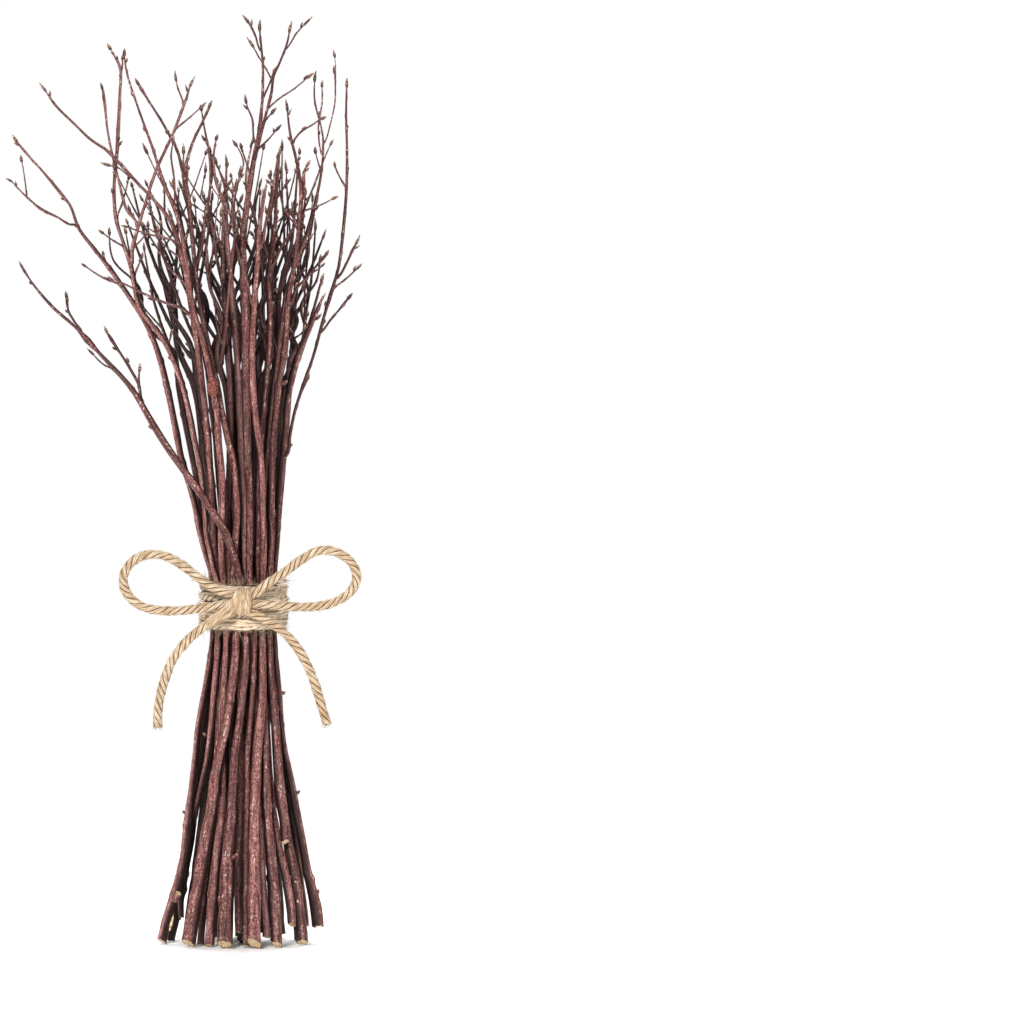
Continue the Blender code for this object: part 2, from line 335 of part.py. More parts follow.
# Pushes the stems apart until each pair keeps its air gap at and between the shared levels.
def settle(plans):
    place = np.stack([np.stack([p["x"], p["y"]], -1) for p in plans], 1)
    target = place.copy()
    radius = np.stack([p["radius"] for p in plans], 1)
    hold = np.array([p["hold"] for p in plans])
    foot = np.array([p["foot"] for p in plans])
    here = levels[:, None] >= foot[None, :] - 34.0
    first, second = np.triu_indices(len(plans), 1)
    rise = np.diff(levels)[:, None, None]
    axis = np.array(tieAxis)
    for step in range(900):
        pull = 0.5 * max(0.0, 1 - step / 520)
        place += pull * hold[None] * (target - place)
        if step < 420:
            smooth = (place[:-2] + place[2:]) / 2 - place[1:-1]
            place[1:-1] += 0.10 * smooth * (1 - step / 420)
        slope = np.diff(place, axis=0) / rise
        steep = np.sqrt(1 + (slope ** 2).sum(-1))
        need = np.maximum(radius[:-1], radius[1:]) * steep
        wanted = need[:, first] + need[:, second] + airGap * 1.25
        d0 = place[:-1, first] - place[:-1, second]
        d1 = place[1:, first] - place[1:, second]
        change = d1 - d0
        t = np.clip(-(d0 * change).sum(-1) / np.maximum((change ** 2).sum(-1), 1e-9), 0, 1)
        nearest = d0 + t[..., None] * change
        gap = np.linalg.norm(nearest, axis=-1)
        away = nearest / np.maximum(gap, 1e-6)[..., None]
        both = here[:-1, first] & here[:-1, second]
        short = np.where(both, np.clip(wanted - gap, 0, 1.5), 0.0) * 0.32
        push = np.zeros_like(place)
        count = np.zeros(place.shape[:2])
        for row in range(len(levels) - 1):
            low = short[row][:, None] * away[row] * (1 - t[row])[:, None]
            high = short[row][:, None] * away[row] * t[row][:, None]
            np.add.at(push[row], first, low)
            np.add.at(push[row], second, -low)
            np.add.at(push[row + 1], first, high)
            np.add.at(push[row + 1], second, -high)
        place += push
        for row in tieRows:
            out = place[row] - axis
            far = np.linalg.norm(out, axis=1)
            most = packRadius - radius[row] * 1.03
            over = far > most
            place[row][over] = axis + out[over] * (most[over] / far[over])[:, None]
    return place, radius


# The limbs grown so far, kept as capsules so that no new limb runs into them.
class Wood:
    def __init__(self):
        self.starts = np.zeros((0, 3))
        self.ends = np.zeros((0, 3))
        self.radius = np.zeros(0)
        self.owner = np.zeros(0, int)

    def add(self, points, radii, owner):
        points = np.asarray(points)
        radii = np.asarray(radii)
        self.starts = np.vstack([self.starts, points[:-1]])
        self.ends = np.vstack([self.ends, points[1:]])
        self.radius = np.concatenate([self.radius, np.maximum(radii[:-1], radii[1:])])
        self.owner = np.concatenate([self.owner, np.full(len(points) - 1, owner)])

    # Least air round a new limb. Its own twig counts only from segment ownFrom on.
    def room(self, points, radii, owner, ownFrom):
        least = 1e9
        for i in range(len(points) - 1):
            gap = segmentGap(points[i], points[i + 1], self.starts, self.ends) - self.radius
            gap = gap - max(radii[i], radii[i + 1])
            other = self.owner != owner
            if other.any():
                least = min(least, gap[other].min())
            if i >= ownFrom and (~other).any():
                least = min(least, gap[~other].min() + airGap - 0.12)
        return least


# The route with its far end moved by shift, growing smoothly from nothing at the start.
def bent(points, shift):
    steps = np.linalg.norm(np.diff(points, axis=0), axis=1)
    run = np.concatenate([[0], np.cumsum(steps)]) / steps.sum()
    return points + (run ** 1.15)[:, None] * np.asarray(shift)[None]


# The first bent copy of the route that keeps its air gap, or else the clearest one.
def clearRoute(wood, points, radii, owner, ownFrom, shifts):
    best = None
    for shift in shifts:
        trial = bent(points, shift)
        air = wood.room(trial, radii, owner, ownFrom)
        if air >= airGap:
            return trial, air
        if best is None or air > best[1]:
            best = (trial, air)
    return best


depthShifts = [(0.0, side * step, 0.0) for step in range(0, 61, 3) for side in (1, -1)]
fanShifts = depthShifts + [(dx, dy, 0.0) for dy in (0, 9, -9, 18, -18, 30, -30)
                           for dx in (4, -4, 8, -8, 14, -14)]


# The limb, segment and share along it that pass nearest to (x, z) as seen from the front.
def nearestOnLimbs(limbs, x, z):
    best = None
    for number, limb in enumerate(limbs):
        points = limb["points"]
        for i in range(len(points) - 1):
            a = points[i][[0, 2]]
            b = points[i + 1][[0, 2]]
            span = b - a
            t = float(np.clip(((x, z) - a) @ span / max(span @ span, 1e-9), 0.04, 0.96))
            miss = float(np.linalg.norm(a + t * span - (x, z)))
            if best is None or miss < best[0]:
                best = (miss, number, i, t)
    return best[1:]


# The two first points of a side branch: on its parent's axis, and just outside its bark.
def forkStart(limbs, number, i, t, toward, radius):
    points = limbs[number]["points"]
    radii = limbs[number]["radii"]
    axis = points[i + 1] - points[i]
    axis = axis / np.linalg.norm(axis)
    at = points[i] + t * (points[i + 1] - points[i])
    thick = radii[i] + t * (radii[i + 1] - radii[i])
    out = toward - at
    out = out - (out @ axis) * axis
    reach = np.linalg.norm(out)
    if reach < 1e-6:
        out = np.array([1.0, 0, 0])
        reach = 1.0
    out = out / reach
    leave = at + out * (thick + radius * 1.05) + axis * (thick + 2.2 * radius)
    return at, leave


# All limbs of all twigs: the stem first, then its top, then its side branches.
def growCrowns(plans, place, radius):
    random = np.random.default_rng(seed)
    wood = Wood()
    twigs = []
    top = len(levels) - 1
    for index, plan in enumerate(plans):
        rows = np.nonzero(levels > plan["foot"] + 1e-6)[0]
        begin = rows[0] - 1
        share = (plan["foot"] - levels[begin]) / (levels[begin + 1] - levels[begin])
        start = place[begin, index] + share * (place[begin + 1, index] - place[begin, index])
        points = [[*start, plan["foot"]]]
        radii = [radius[begin, index] + share * (radius[begin + 1, index] - radius[begin, index])]
        for row in rows:
            points.append([*place[row, index], levels[row]])
            radii.append(radius[row, index])
        points = np.array(points)
        radii = np.array(radii)
        twigs.append(dict(plan=plan, limbs=[dict(points=points, radii=radii, parent=None, stem=len(points))]))
        wood.add(points, radii, index)
    for index, twig in enumerate(twigs):
        plan = twig["plan"]
        stem = twig["limbs"][0]
        head = stem["points"][-1]
        headRadius = stem["radii"][-1]
        if "spec" in plan:
            route = placed(plan["spec"]["route"])
            above = route[route[:, 1] > levels[top] + 6]
            y = keyed(plan["spec"]["depth"], above[:, 1])
            y0 = keyed(plan["spec"]["depth"], [levels[top]])[0]
            x0 = np.interp(levels[top], route[:, 1], route[:, 0])
            free = np.stack([above[:, 0], y, above[:, 1]], -1)
            fade = np.clip(1 - (above[:, 1] - levels[top]) / 70, 0, 1)[:, None]
            free = free + fade * np.array([[head[0] - x0, head[1] - y0, 0]])
            free[:, 1] += (1 - fade[:, 0]) * (head[1] - y0)
            freeRadii = above[:, 2] / 2
            shifts = depthShifts
        else:
            end = np.array(plan["crown"], float)
            count = len(backTaper)
            share = (np.arange(count) + 1) / count
            free = head + share[:, None] * (end - head)
            swing = 2.6 * np.array([1, -1, 1, -1, 0]) * (1 if plan["order"] % 2 else -1)
            sideways = np.cross(end - head, (0, 1, 0))
            sideways = sideways / np.linalg.norm(sideways)
            free = free + swing[:, None] * sideways
            free[:-1, :2] += random.normal(0, 1.3, (count - 1, 2))
            freeRadii = headRadius * np.array(backTaper)
            shifts = fanShifts
        points = np.vstack([head, free])
        radii = np.concatenate([[headRadius], freeRadii])
        points, air = clearRoute(wood, points, radii, index, 1, shifts)
        wood.add(points, radii, index)
        stem["points"] = np.vstack([stem["points"], points[1:]])
        stem["radii"] = np.concatenate([stem["radii"], radii[1:]])
        stem["air"] = air
    for index, twig in enumerate(twigs):
        plan = twig["plan"]
        if "spec" not in plan:
            continue
        for gain, side in plan["spec"]["sides"]:
            route = placed(side)
            number, i, t = nearestOnLimbs(twig["limbs"], route[0, 0], route[0, 1])
            radii = route[1:, 2] / 2
            toward = np.array([route[1, 0], 0, route[1, 1]])
            toward[1] = twig["limbs"][number]["points"][i][1] + 0.25 * gain
            at, leave = forkStart(twig["limbs"], number, i, t, toward, radii[0])
            share = np.arange(1, len(route)) / (len(route) - 1)
            free = np.stack([route[1:, 0], leave[1] + share * gain, route[1:, 1]], -1)
            points = np.vstack([leave, free])
            allRadii = np.concatenate([[radii[0]], radii])
            points, air = clearRoute(wood, points, allRadii, index, 1, depthShifts)
            wood.add(points, allRadii, index)
            allRadii = np.concatenate([[radii[0]], allRadii])
            twig["limbs"].append(dict(points=np.vstack([at, points]), radii=allRadii,
                                      parent=(number, i, t), air=air))
    for index, twig in enumerate(twigs):
        plan = twig["plan"]
        if "spec" in plan:
            continue
        limbs = twig["limbs"]
        stem = limbs[0]
        base = stem["stem"] - 1
        total = len(stem["points"]) - 1 - base
        for fork, along in enumerate(backForks):
            spot = base + along * total
            i = int(spot)
            t = min(max(spot - i, 0.08), 0.92)
            parentRadius = stem["radii"][i]
            radius0 = min(max(0.62 * parentRadius, 0.42), 1.0)
            axis = stem["points"][i + 1] - stem["points"][i]
            axis = axis / np.linalg.norm(axis)
            length = random.uniform(46, 78) * (1 - 0.45 * along)
            for attempt in range(24):
                turn = (fork + plan["order"]) * 2.4 + random.uniform(-0.9, 0.9)
                flat = np.array([math.cos(turn), 0.75 * math.sin(turn) + 0.2, 0])
                flat = flat - (flat @ axis) * axis
                flat = flat / np.linalg.norm(flat)
                lean = random.uniform(0.36, 0.62)
                heading = math.cos(lean) * axis + math.sin(lean) * flat
                bend = np.array([0, 0, 1.0]) - (heading @ np.array([0, 0, 1.0])) * heading
                at, leave = forkStart(limbs, 0, i, t, stem["points"][i] + t * axis + heading * 10, radius0)
                share = np.array([0.0, 0.5, 1.0])
                swing = np.array([0, 1.5, 0])[:, None] * np.cross(heading, axis)[None]
                points = leave + share[:, None] * length * heading + swing
                points = points + (share ** 2)[:, None] * length * 0.25 * bend
                tip = points[-1]
                if tip[0] < crownLeft or tip[0] > crownRight or tip[2] > crownTop:
                    continue
                radii = radius0 * np.array([1.0, 0.80, 0.46])
                if wood.room(points, radii, index, 1) < airGap:
                    continue
                wood.add(points, radii, index)
                limbs.append(dict(points=np.vstack([at, points]), radii=np.concatenate([[radius0], radii]),
                                  parent=(0, i, t), air=airGap))
                break
    return twigs


# Two directions across a tangent, the first as near as can be to the guide.
def ringBasis(tangent, guide):
    first = guide - (guide @ tangent) * tangent
    first = first / np.linalg.norm(first)
    return first, np.cross(tangent, first)


# Direction at each point of a route: the mean of the two steps that meet there.
def tangents(points):
    steps = np.diff(points, axis=0)
    steps = steps / np.linalg.norm(steps, axis=1)[:, None]
    mean = np.vstack([steps[:1], steps[:-1] + steps[1:], steps[-1:]])
    return mean / np.linalg.norm(mean, axis=1)[:, None]


# Points and faces of one closed solid: a many-sided stem with its branches drawn out of its sides.
def twigMesh(twig, index):
    verts = []
    faces = []
    walls = {}

    def addRing(centre, radius, tangent, guide, count, start):
        across, along = ringBasis(tangent, guide)
        wide = radius * flatFill[count]
        first = len(verts)
        for k in range(count):
            angle = start + 2 * math.pi * k / count
            verts.append(centre + wide * (math.cos(angle) * across + math.sin(angle) * along))
        return list(range(first, first + count)), across

    def joinEqual(lower, upper, limb, ring):
        count = len(lower)
        for k in range(count):
            j = (k + 1) % count
            walls[(limb, ring, k)] = [lower[k], lower[j], upper[j], upper[k]]

    def joinUnequal(lower, upper):
        i = 0
        j = 0
        n = len(lower)
        m = len(upper)
        while i < n or j < m:
            if j == m or (i < n and (i + 1) / n <= (j + 1) / m):
                faces.append([lower[i % n], lower[(i + 1) % n], upper[j % m]])
                i += 1
            else:
                faces.append([lower[i % n], upper[(j + 1) % m], upper[j % m]])
                j += 1

    def closeTip(ring, centre, tangent, radius):
        tip = len(verts)
        verts.append(centre + tangent * radius * 1.6)
        for k in range(len(ring)):
            faces.append([ring[k], ring[(k + 1) % len(ring)], tip])

    plan = twig["plan"]
    stem = twig["limbs"][0]
    points = stem["points"]
    radii = stem["radii"]
    heading = tangents(points)
    guide = np.array([math.cos(index * ringTurn), math.sin(index * ringTurn), 0.0])
    previous = None
    for i in range(len(points)):
        count = plan["sides"] if i < stem["stem"] else plan["sides"] - 1
        tangent = np.array([0, 0, 1.0]) if i == 0 else heading[i]
        ring, guide = addRing(points[i], radii[i], tangent, guide, count, 0.0)
        if i == 0:
            slope = np.array(plan["cut"])
            for v in ring:
                drop = slope @ (verts[v][:2] - points[0][:2])
                verts[v] = verts[v] - np.array([0, 0, drop])
            low = min(verts[v][2] for v in ring)
            for v in ring:
                verts[v] = verts[v] + np.array([0, 0, plan["foot"] - low])
            faces.append(ring[::-1])
        elif len(previous) == count:
            joinEqual(previous, ring, 0, i - 1)
        else:
            joinUnequal(previous, ring)
        previous = ring
    closeTip(previous, points[-1], heading[-1], radii[-1])
    for number, limb in enumerate(twig["limbs"][1:], start=1):
        parent, i, t = limb["parent"]
        points = limb["points"]
        radii = limb["radii"]
        leave = points[1] - points[0]
        options = [key for key in walls if key[0] == parent and abs(key[1] - i) <= (0 if parent == 0 else 1)]
        if not options:
            options = [key for key in walls if key[0] == parent and abs(key[1] - i) <= 2]
        best = None
        for key in options:
            quad = [verts[v] for v in walls[key]]
            normal = np.cross(quad[2] - quad[0], quad[3] - quad[1])
            normal = normal / max(np.linalg.norm(normal), 1e-9)
            score = normal @ (leave / np.linalg.norm(leave)) - 0.4 * abs(key[1] - i)
            if best is None or score > best[0]:
                best = (score, key)
        key = best[1]
        wall = walls.pop(key)
        a, b, c, d = [verts[v] for v in wall]
        tall = np.linalg.norm((c + d) / 2 - (a + b) / 2)
        wide = np.linalg.norm((b + c) / 2 - (a + d) / 2)
        share = t if key[1] == i else (0.1 if key[1] > i else 0.9)
        half = min(0.30, 1.1 * radii[1] / wide)
        rise = min(0.2, 1.4 * radii[1] / tall)
        share = min(max(share, 1.4 * rise + 0.04), 0.96 - 1.4 * rise)
        inner = []
        count = 4 if radii[1] >= thickBranch else 3
        start = -math.pi + math.pi / count
        for k in range(count):
            angle = start + 2 * math.pi * k / count
            s = 0.5 + half * 1.4 * math.cos(angle)
            w = share + rise * 1.4 * math.sin(angle)
            inner.append(len(verts))
            verts.append((a * (1 - s) + b * s) * (1 - w) + (d * (1 - s) + c * s) * w)
        joinUnequal(wall, inner)
        guide = b + c - a - d
        heading = tangents(points[1:])
        previous = inner
        for step, (centre, radius, tangent) in enumerate(zip(points[1:], radii[1:], heading)):
            ring, across = addRing(centre, radius, tangent, guide, count, start)
            guide = across
            if step == 0:
                for k in range(count):
                    j = (k + 1) % count
                    faces.append([previous[k], previous[j], ring[j], ring[k]])
            else:
                joinEqual(previous, ring, number, step)
            previous = ring
        closeTip(previous, points[-1], heading[-1], radii[-1])
    faces.extend(walls.values())
    return np.array(verts), faces


def bark():
    material = bpy.data.materials.new("bark")
    material.use_nodes = True
    shader = material.node_tree.nodes["Principled BSDF"]
    shader.inputs["Base Color"].default_value = (0.150, 0.065, 0.062, 1)
    shader.inputs["Roughness"].default_value = 0.55
    return material


def jute():
    material = bpy.data.materials.new("jute")
    material.use_nodes = True
    shader = material.node_tree.nodes["Principled BSDF"]
    shader.inputs["Base Color"].default_value = (0.600, 0.440, 0.240, 1)
    shader.inputs["Roughness"].default_value = 0.9
    return material


def addObject(name, verts, faces, material):
    mesh = bpy.data.meshes.new(name)
    mesh.from_pydata([tuple(v) for v in np.asarray(verts) * toMetres], [], faces)
    mesh.update()
    mesh.shade_smooth()
    mesh.materials.append(material)
    obj = bpy.data.objects.new(name, mesh)
    bpy.context.scene.collection.objects.link(obj)
    return obj


# A closed ring turned about a standing axis from a closed profile of (radius, height).
def turnedRing(name, profile, centre, count, material):
    profile = np.array(profile)
    around = 2 * math.pi * np.arange(count) / count
    verts = []
    for angle in around:
        for reach, height in profile:
            verts.append((centre[0] + reach * math.cos(angle), centre[1] + reach * math.sin(angle), height))
    faces = []
    n = len(profile)
    for a in range(count):
        b = (a + 1) % count
        for k in range(n):
            j = (k + 1) % n
            faces.append([a * n + k, b * n + k, b * n + j, a * n + j])
    return addObject(name, verts, faces, material)


# Side view of the wound twine: one lobe for each turn outside, plain inside.
def wrapProfile():
    pitch = (tieHigh - tieLow) / wrapTurns
    outline = [(bandInside, tieLow + 0.7)]
    for turn in range(wrapTurns):
        middle = tieLow + (turn + 0.5) * pitch
        outline.append((bandInside + bandNeck, middle - 0.5 * pitch))
        outline.append((bandInside + bandReach, middle))
    outline.append((bandInside + bandNeck, tieHigh))
    outline.append((bandInside, tieHigh - 0.7))
    return outline


knotCentre = (-0.6, -25.2, 159.6)
knotHalf = (5.3, 4.3, 6.6)
knotRidges = ((-1.0, 0.42), (-0.86, 0.72), (-0.62, 0.98), (-0.34, 0.86), (0.0, 1.0), (0.34, 0.86),
              (0.62, 0.98), (0.86, 0.72), (1.0, 0.42))


# The knot: a lump turned about x, with one ridge for each strand that wraps it.
def knotLump(material):
    count = 10
    verts = []
    for along, reach in knotRidges:
        for k in range(count):
            angle = 2 * math.pi * k / count
            verts.append((knotCentre[0] + along * knotHalf[0],
                          knotCentre[1] + reach * knotHalf[1] * math.cos(angle),
                          knotCentre[2] + reach * knotHalf[2] * math.sin(angle)))
    faces = [list(range(count))[::-1]]
    last = (len(knotRidges) - 1) * count
    faces.append(list(range(last, last + count)))
    for row in range(len(knotRidges) - 1):
        for k in range(count):
            j = (k + 1) % count
            faces.append([row * count + k, row * count + j, (row + 1) * count + j, (row + 1) * count + k])
    return addObject("bow_knot", verts, faces, material)


# Routes of the free twine: x, depth, height above the reading line.
leftLoop = ((-5.6, -25.3, 160.3), (-13.5, -24.6, 163.4), (-20, -24.2, 168), (-28, -23.8, 174),
            (-38, -23.2, 178), (-47, -22.4, 176.4), (-52.5, -21.6, 171), (-53.8, -21.2, 165),
            (-51, -21.4, 158.4), (-45.5, -22.2, 154.2), (-37, -23.2, 152.2), (-28, -24.0, 152.2),
            (-18, -24.8, 153.4), (-5.6, -25.3, 155.6))
rightLoop = ((6.3, -25.3, 160.0), (13.5, -24.6, 165.4), (20, -24.2, 169.7), (28, -23.8, 175.6),
             (36.5, -23.2, 179.8), (45, -22.4, 178.6), (51, -21.6, 174), (53.4, -21.2, 168),
             (50.6, -21.4, 160.8), (45, -22.2, 156.8), (37, -23.2, 154.4), (28, -24.0, 153.9),
             (18, -24.8, 154.6), (6.3, -25.3, 155.4))
leftTail = ((-5.9, -25.4, 150.9), (-13, -25.0, 147.3), (-19.5, -24.2, 142.8), (-26, -23.6, 136.6),
            (-31, -23.2, 129.8), (-34.6, -23.0, 121), (-37, -22.8, 112), (-38, -22.8, 104),
            (-38, -22.8, 98.6))
rightTail = ((6.4, -25.4, 150.6), (13, -25.0, 147.2), (18.5, -24.4, 143.4), (25, -23.8, 136.6),
             (30, -23.4, 128.6), (34, -23.2, 119), (37, -23.2, 109), (39.8, -23.2, 99.8))


# Points at even steps along a Catmull-Rom curve through the route.
def smoothRoute(points, spacing):
    p = np.array(points, float)
    p = np.vstack([2 * p[0] - p[1], p, 2 * p[-1] - p[-2]])
    t = np.linspace(0, 1, 24, endpoint=False)[:, None]
    parts = []
    for i in range(1, len(p) - 2):
        a, b, c, d = p[i - 1], p[i], p[i + 1], p[i + 2]
        parts.append(0.5 * (2 * b + (c - a) * t + (2 * a - 5 * b + 4 * c - d) * t ** 2
                            + (3 * b - a - 3 * c + d) * t ** 3))
    line = np.vstack(parts + [p[-2][None]])
    run = np.concatenate([[0], np.cumsum(np.linalg.norm(np.diff(line, axis=0), axis=1))])
    count = max(4, int(round(run[-1] / spacing)) + 1)
    even = np.linspace(0, run[-1], count)
    return np.stack([np.interp(even, run, line[:, k]) for k in range(3)], -1)


# A round tube of the twine's width along a route, as a curve with closed ends.
def twineTube(name, route, material):
    points = smoothRoute(route, 2.2 * twineWidth) + (aside, 0.0, lift)
    curve = bpy.data.curves.new(name, "CURVE")
    curve.dimensions = "3D"
    curve.bevel_depth = twineWidth / 2 * toMetres
    curve.bevel_resolution = 2
    curve.use_fill_caps = True
    spline = curve.splines.new("POLY")
    spline.points.add(len(points) - 1)
    for spot, point in zip(spline.points, points):
        spot.co = (*(point * toMetres), 1)
    spline.use_smooth = True
    curve.materials.append(material)
    obj = bpy.data.objects.new(name, curve)
    bpy.context.scene.collection.objects.link(obj)
    return obj


def build():
    for obj in list(bpy.data.objects):
        bpy.data.objects.remove(obj, do_unlink=True)
    barkMaterial = bark()
    juteMaterial = jute()
    plans = plannedStems()
    place, radius = settle(plans)
    twigs = growCrowns(plans, place, radius)
    for index, twig in enumerate(twigs):
        verts, faces = twigMesh(twig, index)
        addObject(f"twig_{index + 1:02d}", verts, faces, barkMaterial)
    turnedRing("twine_wraps", wrapProfile(), tieAxis, bandSides, juteMaterial)
    knotLump(juteMaterial)
    twineTube("bow_loop_left", leftLoop, juteMaterial)
    twineTube("bow_loop_right", rightLoop, juteMaterial)
    twineTube("twine_tail_left", leftTail, juteMaterial)
    twineTube("twine_tail_right", rightTail, juteMaterial)
    return twigs


twigs = build()
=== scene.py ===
import json
import math

import bpy
import numpy as np
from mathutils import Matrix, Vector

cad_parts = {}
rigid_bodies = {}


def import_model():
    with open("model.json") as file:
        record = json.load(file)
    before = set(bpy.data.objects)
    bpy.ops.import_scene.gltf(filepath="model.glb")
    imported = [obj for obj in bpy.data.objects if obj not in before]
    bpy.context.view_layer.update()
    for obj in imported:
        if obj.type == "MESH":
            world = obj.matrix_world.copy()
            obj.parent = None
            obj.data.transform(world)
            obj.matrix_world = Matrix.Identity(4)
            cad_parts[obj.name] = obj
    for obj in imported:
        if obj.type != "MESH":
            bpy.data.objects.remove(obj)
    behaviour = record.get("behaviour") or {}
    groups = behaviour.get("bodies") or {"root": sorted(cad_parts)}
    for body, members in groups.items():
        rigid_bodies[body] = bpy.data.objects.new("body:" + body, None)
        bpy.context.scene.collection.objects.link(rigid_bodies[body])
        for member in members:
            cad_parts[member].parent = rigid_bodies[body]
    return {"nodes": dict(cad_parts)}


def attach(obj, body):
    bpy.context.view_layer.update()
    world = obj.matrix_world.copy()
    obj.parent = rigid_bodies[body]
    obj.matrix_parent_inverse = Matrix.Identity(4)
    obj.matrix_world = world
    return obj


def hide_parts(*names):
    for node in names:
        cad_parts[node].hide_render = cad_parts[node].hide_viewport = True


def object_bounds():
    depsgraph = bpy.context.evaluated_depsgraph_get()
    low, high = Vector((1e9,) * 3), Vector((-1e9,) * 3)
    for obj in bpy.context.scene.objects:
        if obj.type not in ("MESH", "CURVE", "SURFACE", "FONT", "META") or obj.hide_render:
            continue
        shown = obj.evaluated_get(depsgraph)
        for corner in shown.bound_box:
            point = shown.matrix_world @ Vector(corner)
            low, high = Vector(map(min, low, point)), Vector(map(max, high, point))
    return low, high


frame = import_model()
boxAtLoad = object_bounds()
print("frame loaded:", len(frame["nodes"]), "nodes")

metre = 0.001

cameraPlan = dict(
    aim=(123.7, 0.0, 199.0),    # the point at the middle of the picture
    across=471.0,               # width of the picture at that point
    lens=900.0,
    elevation=3.8,              # degrees above the horizon
)


def makeCamera(plan):
    # Stands back from the aim by lens / 36 mm times the width, raised by the elevation.
    back = plan["lens"] / 36 * plan["across"]
    lift = math.radians(plan["elevation"])
    data = bpy.data.cameras.new("camera")
    data.lens = plan["lens"]
    data.sensor_width = 36
    data.clip_end = 100
    camera = bpy.data.objects.new("camera", data)
    aim = np.array(plan["aim"])
    camera.location = (aim + back * np.array([0, -math.cos(lift), math.sin(lift)])) * metre
    camera.rotation_euler = (math.pi / 2 - lift, 0, 0)
    bpy.context.scene.collection.objects.link(camera)
    bpy.context.scene.camera = camera


makeCamera(cameraPlan)


def sRgb(code):
    # Six hex digits made linear: ((c + 0.055) / 1.055) to the power 2.4, and c / 12.92 at the dark end.
    c = np.array([int(code[i:i + 2], 16) for i in (0, 2, 4)]) / 255
    linear = np.where(c <= 0.04045, c / 12.92, ((c + 0.055) / 1.055) ** 2.4)
    return (*linear.tolist(), 1.0)


def addNode(tree, kind, links=None, ramp=None, **settings):
    # A shader node of this kind with its settings, its sockets' values or links (a node stands for its
    # first live output), and the stops of its colour ramp.
    node = tree.nodes.new("ShaderNode" + kind)
    for key, value in settings.items():
        setattr(node, key, value)
    for socket, source in (links or {}).items():
        if isinstance(source, bpy.types.Node):
            source = next(out for out in source.outputs if out.enabled)
        if isinstance(source, bpy.types.NodeSocket):
            tree.links.new(source, node.inputs[socket])
        else:
            node.inputs[socket].default_value = source
    if ramp:
        stops = node.color_ramp.elements
        while len(stops) < len(ramp):
            stops.new(0.5)
        for stop, (at, colour) in zip(stops, ramp):
            stop.position = at
            stop.color = sRgb(colour) if isinstance(colour, str) else (colour, colour, colour, 1)
    return node


def newMaterial(name, **values):
    # A material whose surface shader has these values on its own sockets.
    material = bpy.data.materials.new(name)
    material.use_nodes = True
    shader = material.node_tree.nodes["Principled BSDF"]
    for key, value in values.items():
        shader.inputs[key].default_value = value
    return material, material.node_tree, shader


barkLook = dict(
    dark="260c0a", base="834c47", light="c6938c",     # the body, from its furrows to its worn ridges
    bodyAt=(0.43, 0.62, 0.82),                        # where those three lie on the way from dark to light
    # The glint colour is a painted highlight: pale specks laid on the grain where it rises
    paintedGlint="f0d0ca", shoot="4d2a28", scar="2a1210",
    weathered="503f35",  # dull olive brown patches where the wax has gone
    crevice="220a08",    # painted shade: laid where stems press together and inside the bundle, where little light comes
    grainWide=0.60,      # mm, wax grain on the skin: truly about 0.3, drawn coarser so that it shows
    grainDeep=0.35,      # mm
    furrowWide=1.1,      # mm, lengthwise furrows
    furrowDeep=0.45,     # mm
    gloss=0.35,
    roughness=0.42,
)


